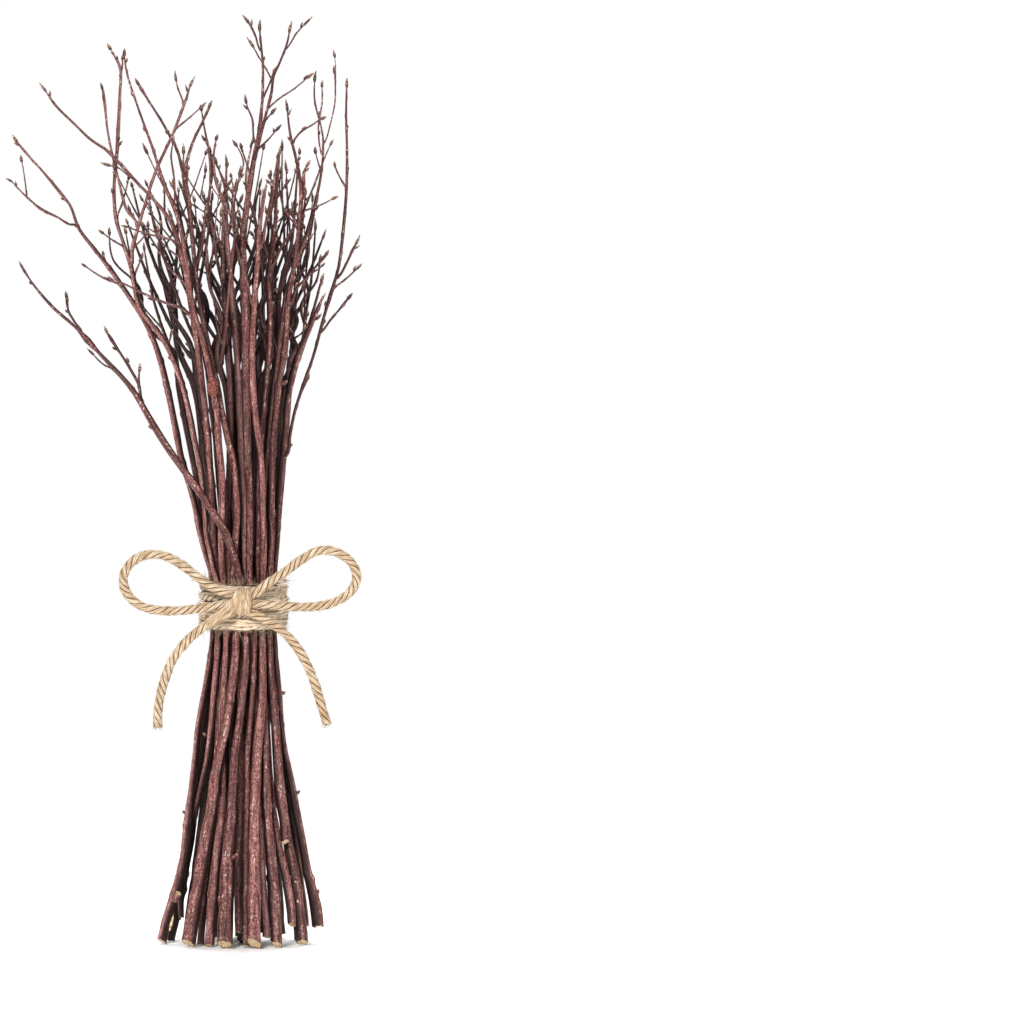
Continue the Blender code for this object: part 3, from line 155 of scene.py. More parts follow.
def barkMaterial(look):
    # Thin young birch bark, dried and waxed: a reddish mauve brown skin with dark lengthwise furrows and fine
    # grain, with pale glints painted on as painted highlights. Fresh shoots are smoother and darker.
    # Between stems and inside the bundle the bark is painted darker, as painted shade.
    material, tree, shader = newMaterial("birch_bark_waxed", **{"Specular IOR Level": look["gloss"]})
    grain = addNode(tree, "Attribute", attribute_name="grain").outputs["Vector"]
    own, youth, scar, shadeAmount = (addNode(tree, "Attribute", attribute_name=name).outputs["Fac"]
                                 for name in ("tone", "youth", "node", "crevice"))
    tight = addNode(tree, "Mapping", {"Vector": grain, "Scale": (1, 1, 0.6)})
    long = addNode(tree, "Mapping", {"Vector": grain, "Scale": (1, 1, 0.11)})
    patch = addNode(tree, "TexNoise", {"Vector": grain, "Scale": 0.14, "Detail": 2.0})
    furrow = addNode(tree, "TexNoise", {
        "Vector": long, "Scale": 0.8 / look["furrowWide"], "Detail": 3.0, "Roughness": 0.62})
    skin = addNode(tree, "TexNoise", {
        "Vector": tight, "Scale": 1.1 / look["grainWide"], "Detail": 2.0, "Roughness": 0.7})
    # How light the skin is: each twig's own tone, its furrows, its grain and slow patches.
    level = addNode(tree, "Math", {0: own, 1: 0.22, 2: -0.28}, operation="MULTIPLY_ADD")
    level = addNode(tree, "Math", {0: furrow, 1: 0.55, 2: level}, operation="MULTIPLY_ADD")
    level = addNode(tree, "Math", {0: skin, 1: 0.95, 2: level}, operation="MULTIPLY_ADD")
    level = addNode(tree, "Math", {0: patch, 1: 0.12, 2: level}, operation="MULTIPLY_ADD")
    body = addNode(tree, "ValToRGB", {0: level}, [
        (at, look[colour]) for at, colour in zip(look["bodyAt"], ("dark", "base", "light"))])
    # The shares of what lies over it.
    bare = addNode(tree, "Math", {0: own, 1: 0.16}, operation="MULTIPLY")
    bare = addNode(tree, "Math", {0: patch, 1: bare}, operation="SUBTRACT")
    bare = addNode(tree, "ValToRGB", {0: bare}, [(0.53, 0.0), (0.63, 0.5)])
    young = addNode(tree, "Math", {0: youth, 1: 0.62}, operation="MULTIPLY")
    # Painted highlight: pale glints laid where spots of the grain lie on the furrows' ridges.
    spark = addNode(tree, "TexVoronoi", {"Vector": tight, "Scale": 1.0 / look["grainWide"]})
    spark = addNode(tree, "SeparateColor", {0: spark.outputs["Color"]})
    spark = addNode(tree, "ValToRGB", {0: spark}, [(0.86, 0.0), (0.95, 1.0)])
    ridge = addNode(tree, "ValToRGB", {0: furrow}, [(0.47, 0.0), (0.58, 0.52)])
    paintedGlintShare = addNode(tree, "Math", {0: spark, 1: ridge}, operation="MULTIPLY")
    worn = addNode(tree, "Math", {0: scar, 1: 0.6}, operation="MULTIPLY")
    # Painted shade: darker where other stems are near and deep inside the bundle, broken up by the grain.
    shadeShare = addNode(tree, "Math", {0: skin, 1: 0.7, 2: 0.62}, operation="MULTIPLY_ADD")
    shadeShare = addNode(tree, "Math", {0: shadeShare, 1: shadeAmount}, operation="MULTIPLY", use_clamp=True)
    for share, colour in (
            (bare, "weathered"), (young, "shoot"), (paintedGlintShare, "paintedGlint"), (worn, "scar"), (shadeShare, "crevice")):
        body = addNode(tree, "Mix", {0: share, 6: body, 7: sRgb(look[colour])}, data_type="RGBA")
    tree.links.new(body.outputs[2], shader.inputs["Base Color"])
    rough = addNode(tree, "Math", {0: skin, 1: 0.5, 2: look["roughness"] - 0.25}, operation="MULTIPLY_ADD")
    tree.links.new(rough.outputs[0], shader.inputs["Roughness"])
    deep = addNode(tree, "Bump", {"Height": furrow, "Strength": 1.0, "Distance": look["furrowDeep"] * metre})
    fine = addNode(tree, "Bump", {
        "Height": skin, "Strength": 1.0, "Distance": look["grainDeep"] * metre, "Normal": deep})
    tree.links.new(fine.outputs[0], shader.inputs["Normal"])
    return material


cutLook = dict(
    pale="efdfbe", mid="d8b684", torn="a9743f", rim="4a2618",
    ringWide=0.45, radius=1.4,    # mm, a growth ring and a usual cut
    deep=0.5,                     # mm, torn fibre ends
)


def cutWoodMaterial(look):
    # Fresh birch wood, cut across with shears: dry straw-coloured fibre ends, faint growth rings, crushed
    # and browned towards the dark rim of bark.
    material, tree, shader = newMaterial("birch_wood_cut", **{"Roughness": 0.8})
    face = addNode(tree, "SeparateXYZ", {
        0: addNode(tree, "Attribute", attribute_name="face").outputs["Vector"]})
    grain = addNode(tree, "Attribute", attribute_name="grain").outputs["Vector"]
    turns = 2 * math.pi * look["radius"] / look["ringWide"]
    rings = addNode(tree, "Math", {0: face, 1: turns}, operation="MULTIPLY")
    rings = addNode(tree, "Math", {0: rings}, operation="SINE")
    torn = addNode(tree, "TexNoise", {"Vector": grain, "Scale": 0.85, "Detail": 3.0, "Roughness": 0.7})
    level = addNode(tree, "Math", {0: rings, 1: 0.07, 2: torn}, operation="MULTIPLY_ADD")
    body = addNode(tree, "ValToRGB", {0: level}, [
        (0.32, look["torn"]), (0.45, look["mid"]), (0.60, look["pale"])])
    reach = addNode(tree, "Math", {0: face, 1: -0.15}, operation="ADD")
    reach = addNode(tree, "Math", {0: torn, 1: 0.30, 2: reach}, operation="MULTIPLY_ADD")
    edge = addNode(tree, "ValToRGB", {0: reach}, [(0.80, 0.0), (0.97, 0.9)])
    rimmed = addNode(tree, "Mix", {0: edge, 6: body, 7: sRgb(look["rim"])}, data_type="RGBA")
    tree.links.new(rimmed.outputs[2], shader.inputs["Base Color"])
    bump = addNode(tree, "Bump", {"Height": torn, "Strength": 1.0, "Distance": look["deep"] * metre})
    tree.links.new(bump.outputs[0], shader.inputs["Normal"])
    return material


knotLook = dict(dark="35120d", mid="84473b", pale="bb7d6c", deep=0.7)    # deep: mm, the crumbs


def brokenWoodMaterial(look):
    # Where a side branch broke away: rough, resin-stained reddish wood, crumbly and dull.
    material, tree, shader = newMaterial("birch_wood_broken", **{"Roughness": 0.85})
    grain = addNode(tree, "Attribute", attribute_name="grain").outputs["Vector"]
    crumb = addNode(tree, "TexNoise", {"Vector": grain, "Scale": 1.2, "Detail": 3.0, "Roughness": 0.75})
    body = addNode(tree, "ValToRGB", {0: crumb}, [
        (0.38, look["dark"]), (0.52, look["mid"]), (0.66, look["pale"])])
    tree.links.new(body.outputs[0], shader.inputs["Base Color"])
    bump = addNode(tree, "Bump", {"Height": crumb, "Strength": 1.0, "Distance": look["deep"] * metre})
    tree.links.new(bump.outputs[0], shader.inputs["Normal"])
    return material


budLook = dict(foot="3c1f1d", mid="6b473e", tip="a6836c", seam="1f100e", flake="c4a98f",
               deep=0.25)    # mm, the step from one scale to the next


def budMaterial(look):
    # Dry birch bud scales: overlapping brown husks, paler and papery towards the tip, with dark seams
    # between.
    material, tree, shader = newMaterial("birch_bud_scales", **{"Roughness": 0.46})
    face = addNode(tree, "Attribute", attribute_name="face").outputs["Vector"]
    along = addNode(tree, "SeparateXYZ", {0: face})
    own = addNode(tree, "Attribute", attribute_name="tone").outputs["Fac"]
    grain = addNode(tree, "Attribute", attribute_name="grain").outputs["Vector"]
    mottle = addNode(tree, "TexNoise", {"Vector": grain, "Scale": 1.1, "Detail": 2.0, "Roughness": 0.6})
    level = addNode(tree, "Math", {0: own, 1: 0.4, 2: -0.45}, operation="MULTIPLY_ADD")
    level = addNode(tree, "Math", {0: mottle, 1: 0.8, 2: level}, operation="MULTIPLY_ADD")
    level = addNode(tree, "Math", {0: along, 1: 0.6, 2: level}, operation="MULTIPLY_ADD")
    body = addNode(tree, "ValToRGB", {0: level}, [
        (0.10, look["foot"]), (0.40, look["mid"]), (0.72, look["tip"]), (0.95, look["flake"])])
    scales = addNode(tree, "TexWave", {"Vector": face, "Scale": 1.1, "Distortion": 2.6, "Detail": 1.0})
    scales = scales.outputs["Fac"]
    seam = addNode(tree, "ValToRGB", {0: scales}, [(0.06, 0.8), (0.34, 0.0)])
    seamed = addNode(tree, "Mix", {0: seam, 6: body, 7: sRgb(look["seam"])}, data_type="RGBA")
    tree.links.new(seamed.outputs[2], shader.inputs["Base Color"])
    bump = addNode(tree, "Bump", {"Height": scales, "Strength": 1.0, "Distance": look["deep"] * metre})
    tree.links.new(bump.outputs[0], shader.inputs["Normal"])
    return material


juteLook = dict(
    # The groove colour is painted shade, laid in the grooves between strands.
    pale="e1d0b6", base="c0a688", deep="8c6c48", grooveShade="5c3d1e",
    bodyAt=(0.46, 0.68, 0.88),    # where deep, base and pale lie on the way from dark to light
    fibreWide=0.6,       # mm across a fibre streak: truly 0.1, drawn coarser so that it shows
    fibreDeep=0.4,       # mm
    roughness=0.88,
)


def juteMaterial(look):
    # Jute spun into strands and laid into twine: pale straw fibres lying along each strand, painted darker
    # brown in the grooves as painted shade, dry, with a faint sheen from loose fibre ends.
    material, tree, shader = newMaterial("jute_twine_spun", **{
        "Roughness": look["roughness"], "Sheen Weight": 0.12, "Sheen Roughness": 0.5,
        "Specular IOR Level": 0.2})
    grain = addNode(tree, "Attribute", attribute_name="grain").outputs["Vector"]
    own = addNode(tree, "Attribute", attribute_name="tone").outputs["Fac"]
    grooveShade = addNode(tree, "Attribute", attribute_name="node").outputs["Fac"]
    lying = addNode(tree, "Mapping", {"Vector": grain, "Scale": (1, 0.13, 1)})
    fibre = addNode(tree, "TexNoise", {
        "Vector": lying, "Scale": 0.9 / look["fibreWide"], "Detail": 2.0, "Roughness": 0.6})
    patch = addNode(tree, "TexNoise", {"Vector": grain, "Scale": 0.22, "Detail": 1.0})
    level = addNode(tree, "Math", {0: own, 1: 0.35, 2: -0.09}, operation="MULTIPLY_ADD")
    level = addNode(tree, "Math", {0: patch, 1: 0.25, 2: level}, operation="MULTIPLY_ADD")
    level = addNode(tree, "Math", {0: fibre, 1: 0.9, 2: level}, operation="MULTIPLY_ADD")
    body = addNode(tree, "ValToRGB", {0: level}, [
        (at, look[colour]) for at, colour in zip(look["bodyAt"], ("deep", "base", "pale"))])
    # Painted shade: the grooves between strands are painted dark, broken up by the fibres and slow patches.
    low = addNode(tree, "Math", {0: fibre, 1: -0.7, 2: grooveShade}, operation="MULTIPLY_ADD")
    low = addNode(tree, "Math", {0: patch, 1: -0.45, 2: low}, operation="MULTIPLY_ADD")
    shade = addNode(tree, "ValToRGB", {0: low}, [(0.0, 0.0), (0.22, 0.95)])
    shaded = addNode(tree, "Mix", {0: shade, 6: body, 7: sRgb(look["grooveShade"])}, data_type="RGBA")
    tree.links.new(shaded.outputs[2], shader.inputs["Base Color"])
    bump = addNode(tree, "Bump", {"Height": fibre, "Strength": 1.0, "Distance": look["fibreDeep"] * metre})
    tree.links.new(bump.outputs[0], shader.inputs["Normal"])
    return material


bark = barkMaterial(barkLook)
cutWood = cutWoodMaterial(cutLook)
brokenWood = brokenWoodMaterial(knotLook)
budScales = budMaterial(budLook)
jute = juteMaterial(juteLook)


# The attributes that materials read, and how many numbers each has at a point.
attributeWidths = dict(grain=3, face=3, tone=1, youth=1, node=1, crevice=1)


class Surface:
    # Closed shapes gathered for one piece: corners, faces, material numbers and attributes.

    def __init__(self):
        self.parts = []
        self.count = 0

    def add(self, corners, quads, tris, quadMaterials, triMaterials, **fields):
        shape = corners.reshape(-1, 3)
        filled = {}
        for name, width in attributeWidths.items():
            value = fields.get(name, np.zeros(width) if width > 1 else 0.0)
            value = np.asarray(value, float)
            whole = (len(shape), width) if width > 1 else (len(shape),)
            value = value.reshape(whole) if value.size == np.prod(whole) else value
            filled[name] = np.broadcast_to(value, whole)
        self.parts.append((shape, quads + self.count, tris + self.count, quadMaterials, triMaterials, filled))
        self.count += len(shape)

    def triangles(self):
        return sum(2 * len(part[1]) + len(part[2]) for part in self.parts)

    def build(self, name, materials):
        corners = np.vstack([p[0] for p in self.parts]) * metre
        quads = np.vstack([p[1] for p in self.parts])
        tris = np.vstack([p[2] for p in self.parts])
        mesh = bpy.data.meshes.new(name)
        mesh.vertices.add(len(corners))
        mesh.vertices.foreach_set("co", corners.astype(np.float32).ravel())
        loops = np.concatenate([quads.ravel(), tris.ravel()]).astype(np.int32)
        mesh.loops.add(len(loops))
        mesh.loops.foreach_set("vertex_index", loops)
        starts = np.concatenate([np.arange(len(quads)) * 4, len(quads) * 4 + np.arange(len(tris)) * 3])
        mesh.polygons.add(len(starts))
        mesh.polygons.foreach_set("loop_start", starts.astype(np.int32))
        numbers = np.concatenate([p[3] for p in self.parts] + [p[4] for p in self.parts]).astype(np.int32)
        mesh.update(calc_edges=True)
        mesh.polygons.foreach_set("material_index", numbers)
        for field, width in attributeWidths.items():
            data = np.concatenate([p[5][field] for p in self.parts]).astype(np.float32)
            made = mesh.attributes.new(field, "FLOAT_VECTOR" if width > 1 else "FLOAT", "POINT")
            made.data.foreach_set("vector" if width > 1 else "value", data.ravel())
        mesh.shade_smooth()
        for material in materials:
            mesh.materials.append(material)
        piece = bpy.data.objects.new(name, mesh)
        bpy.context.scene.collection.objects.link(piece)
        return piece


def gridFaces(rows, sides, shapes=1):
    # Quads of a tube of rows by sides points, then fans to one point before the first row and one after the
    # last. Points are ordered: all rows, the first pole, the last pole. Repeated for a number of equal
    # shapes.
    r = np.arange(rows - 1)[:, None] * sides
    k = np.arange(sides)[None]
    j = (k + 1) % sides
    quads = np.stack([r + k, r + j, r + sides + j, r + sides + k], -1).reshape(-1, 4)
    first = rows * sides
    low = np.stack([np.full(sides, first), j[0], k[0]], -1)
    top = (rows - 1) * sides
    high = np.stack([np.full(sides, first + 1), top + k[0], top + j[0]], -1)
    tris = np.vstack([low, high])
    shift = (np.arange(shapes) * (rows * sides + 2))[:, None, None]
    return (quads[None] + shift).reshape(-1, 4), (tris[None] + shift).reshape(-1, 3)


curveSteps = 20    # points worked out between two given ones before they are spaced evenly


def smoothLine(points, radii, spacing, softness=1.0):
    # Even steps along a Hermite curve through the points, whose direction at each point is the mean of the
    # two steps that meet there, the shorter step counting for more. Softness 0 keeps the corners. Returns
    # the points, and the radius and the run at each.
    points = np.asarray(points, float)
    step = np.diff(points, axis=0)
    length = np.linalg.norm(step, axis=1)
    unit = step / length[:, None]
    inner = unit[:-1] * length[1:, None] + unit[1:] * length[:-1, None]
    inner = inner / np.linalg.norm(inner, axis=1)[:, None]
    heading = np.vstack([unit[:1], inner, unit[-1:]])
    t = np.linspace(0, 1, curveSteps, endpoint=False)[None, :, None]
    p0, p1 = points[:-1, None], points[1:, None]
    m0 = (softness * heading[:-1] + (1 - softness) * unit)[:, None] * length[:, None, None]
    m1 = (softness * heading[1:] + (1 - softness) * unit)[:, None] * length[:, None, None]
    line = ((2 * t ** 3 - 3 * t ** 2 + 1) * p0 + (t ** 3 - 2 * t ** 2 + t) * m0
            + (3 * t ** 2 - 2 * t ** 3) * p1 + (t ** 3 - t ** 2) * m1).reshape(-1, 3)
    line = np.vstack([line, points[-1:]])
    run = np.concatenate([[0], np.cumsum(np.linalg.norm(np.diff(line, axis=0), axis=1))])
    count = max(4, int(math.ceil(run[-1] / spacing)) + 1)
    even = np.linspace(0, run[-1], count)
    fine = np.stack([np.interp(even, run, line[:, k]) for k in range(3)], -1)
    return fine, np.interp(even, run[::curveSteps], radii), even


def framesAlong(line, guide):
    # Directions at each point of a line: along it, and two across it, the first as near the guide as can
    # be.
    heading = np.gradient(line, axis=0)
    heading = heading / np.linalg.norm(heading, axis=1)[:, None]
    first = guide - (heading @ guide)[:, None] * heading
    first = first / np.linalg.norm(first, axis=1)[:, None]
    return heading, first, np.cross(heading, first)


def hairs(surface, bases, outward, along, count, look, random):
    # Fine loose fibres: each starts at a base point, leans from outward towards along, and bends as u
    # squared. Three-sided, thinning from foot to tip.
    pick = random.integers(0, len(bases), count)
    lean = random.uniform(look["back"], 1, (count, 1))
    stray = random.normal(0, 1, (count, 3))
    heading = look["rise"] * outward[pick] + look["lie"] * lean * along[pick] + look["stray"] * stray
    heading = heading / np.linalg.norm(heading, axis=1)[:, None]
    bend = np.cross(heading, stray)
    bend = bend / np.linalg.norm(bend, axis=1)[:, None]
    length = random.uniform(*look["length"], (count, 1)) * random.uniform(0.5, 1, (count, 1))
    rows, sides = 5, 3
    u = np.linspace(0, 1, rows)
    centre = (bases[pick] - 0.15 * outward[pick])[:, None] + length[:, None] * (
        u[None, :, None] * heading[:, None] + (u ** 2)[None, :, None] * look["bend"] * bend[:, None])
    thick = look["thick"] * (1 - 0.75 * u)[None, :, None, None]
    side = np.cross(heading, bend)
    angle = 2 * math.pi * np.arange(sides) / sides
    spread = (np.cos(angle)[None, None, :, None] * bend[:, None, None]
              + np.sin(angle)[None, None, :, None] * side[:, None, None])
    ring = (centre[:, :, None] + thick * spread).reshape(count, -1, 3)
    corners = np.concatenate([ring, centre[:, :1], centre[:, -1:]], axis=1)
    quads, tris = gridFaces(rows, sides, count)
    surface.add(corners, quads, tris, np.zeros(len(quads)), np.zeros(len(tris)),
                grain=corners.reshape(-1, 3) * 0.6,
                tone=np.repeat(random.uniform(0, 1, count), corners.shape[1]))


twinePlan = dict(
    radius=2.15,        # of the whole twine
    strands=4,
    pitch=15.5,         # one full turn of a strand
    deep=0.30,          # how far the strands' centres stand off the middle, as a share of the radius
    cleft=0.14,         # how much deeper the groove is cut, as a share of the radius
    split=0.23,         # half width of that groove in radians
    yarns=11,           # fine ridges round half of the section
    ridge=0.028,        # their height, and the height of fibres at random, as shares of the radius
    rough=0.012,
    sides=36,
    step=0.5,           # mm from one ring of points to the next
)
fuzzPlan = dict(length=(0.8, 2.6), thick=0.07, rise=0.62, lie=1.1, stray=0.25, bend=0.3, back=-1)
frayPlan = dict(length=(1.2, 3.2), thick=0.09, rise=0.1, lie=1.6, stray=0.16, bend=0.15, back=0.4)


def twineSurface(surface, route, guide, random, plan=twinePlan, radius=twinePlan["radius"], phase=0.0,
                 taper=(1.0, 1.0), fuzz=2.2, fray=0, tone=0.6):
    # Twine laid from its strands. Across it, the radius is that of the union of as many circles, a cos b +
    # sqrt(r r - a a sin b sin b) for the angle b from the nearest strand, less a narrow cleft between two
    # of them. The section turns once backwards in each pitch, a little unevenly, as a left-hand lay does.
    # Fuzz is the number of loose fibres to a millimetre, and fray that at the cut end.
    sides = plan["sides"]
    line, _, run = smoothLine(route, np.ones(len(route)), plan["step"])
    heading, first, second = framesAlong(line, np.asarray(guide, float))
    rows = len(line)
    strands = plan["strands"]
    k = np.arange(sides)
    place = (k * strands / sides) % 1 - 0.5
    b = place * 2 * math.pi / strands
    off = plan["deep"] * radius
    own = radius - off
    lobe = off * np.cos(b) + np.sqrt(np.maximum(own ** 2 - (off * np.sin(b)) ** 2, (0.25 * own) ** 2))
    share = (math.pi / strands - np.abs(b)) / plan["split"]
    lobe = lobe - plan["cleft"] * radius * np.exp(-share ** 2) * (strands > 1)
    turn = phase - 2 * math.pi * run / plan["pitch"]
    turn = turn - 0.22 * np.sin(run / 5.3 + phase) - 0.12 * np.sin(run / 2.1)
    slack = 1 + 0.035 * np.sin(run / 3.1 + random.uniform(0, 6))
    slack = slack + 0.025 * np.sin(run / 1.27 + random.uniform(0, 6))
    wide = np.interp(run, [0, 2.5, run[-1] - 2.5, run[-1]], [taper[0], 1, 1, taper[1]])
    yarn = plan["ridge"] * np.cos(plan["yarns"] * b[None] * strands / 2 + 2.2 * run[:, None]
                                  + 3 * np.sin(run[:, None] / 4))
    rough = random.normal(0, plan["rough"], (rows, sides))
    reach = lobe[None] * (slack * wide)[:, None] * (1 + yarn + rough)
    angle = 2 * math.pi * k[None] / sides + turn[:, None]
    out = np.cos(angle)[..., None] * first[:, None] + np.sin(angle)[..., None] * second[:, None]
    corners = line[:, None] + reach[..., None] * out
    strand = np.floor(k * strands / sides)
    lay = 2 * math.pi * 0.7 * radius / plan["pitch"]
    across = np.broadcast_to((b * radius + strand * 37)[None], reach.shape)
    along = np.broadcast_to((run * math.sqrt(1 + lay * lay))[:, None], reach.shape)
    grain = np.stack([across, along, np.broadcast_to(strand[None] * 11.0, reach.shape)], -1).reshape(-1, 3)
    grain = grain + random.uniform(0, 500, 3)
    # How deep in a groove each point lies, which sets the painted shade there.
    grooveShade = np.broadcast_to(np.clip((radius - lobe) / (0.24 * radius), 0, 1)[None], reach.shape).ravel()
    quads, tris = gridFaces(rows, sides)
    poles = np.stack([line[0] - heading[0] * 0.5, line[-1] + heading[-1] * 0.5])
    corners = np.vstack([corners.reshape(-1, 3), poles])
    grain = np.vstack([grain, grain[[0, -1]]])
    surface.add(corners, quads, tris, np.zeros(len(quads)), np.zeros(len(tris)), grain=grain,
                node=np.concatenate([grooveShade, [0.6, 0.6]]), tone=tone)
    bases = (line[:, None] + (reach * 0.97)[..., None] * out).reshape(-1, 3)
    outs = out.reshape(-1, 3)
    alongs = np.broadcast_to(heading[:, None], out.shape).reshape(-1, 3)
    if fuzz:
        hairs(surface, bases, outs, alongs, int(run[-1] * fuzz), fuzzPlan, random)
    if fray:
        last = slice((rows - 5) * sides, rows * sides)
        hairs(surface, bases[last], outs[last], alongs[last], fray, frayPlan, random)
    return line, run[-1]


# Routes of the four free stretches of twine, as (x, depth, height) in millimetres, from the knot outwards.
bowRoutes = dict(
    bow_loop_left=(
        (-2.6, -24.6, 162.4), (-6.6, -25.3, 163.3), (-14.5, -24.6, 166.4), (-21, -24.2, 171),
        (-29, -23.8, 177), (-39, -23.2, 181), (-48, -22.4, 179.4), (-53.5, -21.6, 174), (-54.8, -21.2, 168),
        (-52, -21.4, 161.4), (-46.5, -22.2, 157.2), (-38, -23.2, 155.2), (-29, -24.0, 155.2),
        (-19, -24.8, 156.4), (-6.6, -25.3, 158.6), (-2.8, -24.9, 159.2)),
    bow_loop_right=(
        (2.4, -24.6, 161.4), (5.3, -25.3, 163.0), (12.5, -24.6, 168.4), (19, -24.2, 172.7),
        (27, -23.8, 178.6), (35.5, -23.2, 182.8), (44, -22.4, 181.6), (50, -21.6, 177), (52.4, -21.2, 171),
        (49.6, -21.4, 163.8), (44, -22.2, 159.8), (36, -23.2, 157.4), (27, -24.0, 156.9),
        (17, -24.8, 157.6), (5.3, -25.3, 158.4), (2.4, -24.9, 158.6)),
    twine_tail_left=(
        (-2.2, -25.0, 156.0), (-6.9, -25.4, 153.9), (-14, -25.0, 150.3), (-20.5, -24.2, 145.8),
        (-27, -23.6, 139.6), (-32, -23.2, 132.8), (-35.6, -23.0, 124), (-38, -22.8, 115), (-39, -22.8, 107),
        (-39, -22.8, 101.6)),
    twine_tail_right=(
        (1.6, -25.0, 155.0), (5.4, -25.4, 153.6), (12, -25.0, 150.2), (17.5, -24.4, 146.4),
        (24, -23.8, 139.6), (29, -23.4, 131.6), (33, -23.2, 122), (36, -23.2, 112), (38.8, -23.2, 102.8)),
)
bowEnds = dict(bow_loop_left="object", bow_loop_right="object",
               twine_tail_left="bare", twine_tail_right="bare")


def makeBow():
    # Each free stretch is a mesh tube of laid twine along its own route.
    for number, (name, route) in enumerate(bowRoutes.items()):
        random = np.random.default_rng(40 + number)
        surface = Surface()
        bare = bowEnds[name] == "bare"
        line, length = twineSurface(surface, route, (0, 1, 0), random, phase=1.3 * number,
                                    taper=(0.8, 0.96 if bare else 0.8), fray=70 if bare else 0)
        piece = surface.build(name + "_laid", [jute])
        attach(piece, "root")
        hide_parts(name)
        print("twine", name, round(length, 1), "mm")


makeBow()


growthPlan = dict(
    seed=23,
    airGap=0.36,            # air kept between any two pieces
    lift=3.0,               # the routes below are read from a line this far above the floor
    aside=-1.0,             # and from a line this far to the side of the tie's axis
    tieAxis=(0.0, 0.0),
    packRadius=15.7,        # the twigs stay inside this at the tie
)

# Heights of the rings that all stems share, from the floor to the foot of the crown.
levels = np.array([0.0, 40.0, 78.0, 112.0, 144.0, 168.0, 190.0, 220.0, 256.0])
tieRows = (4, 5)

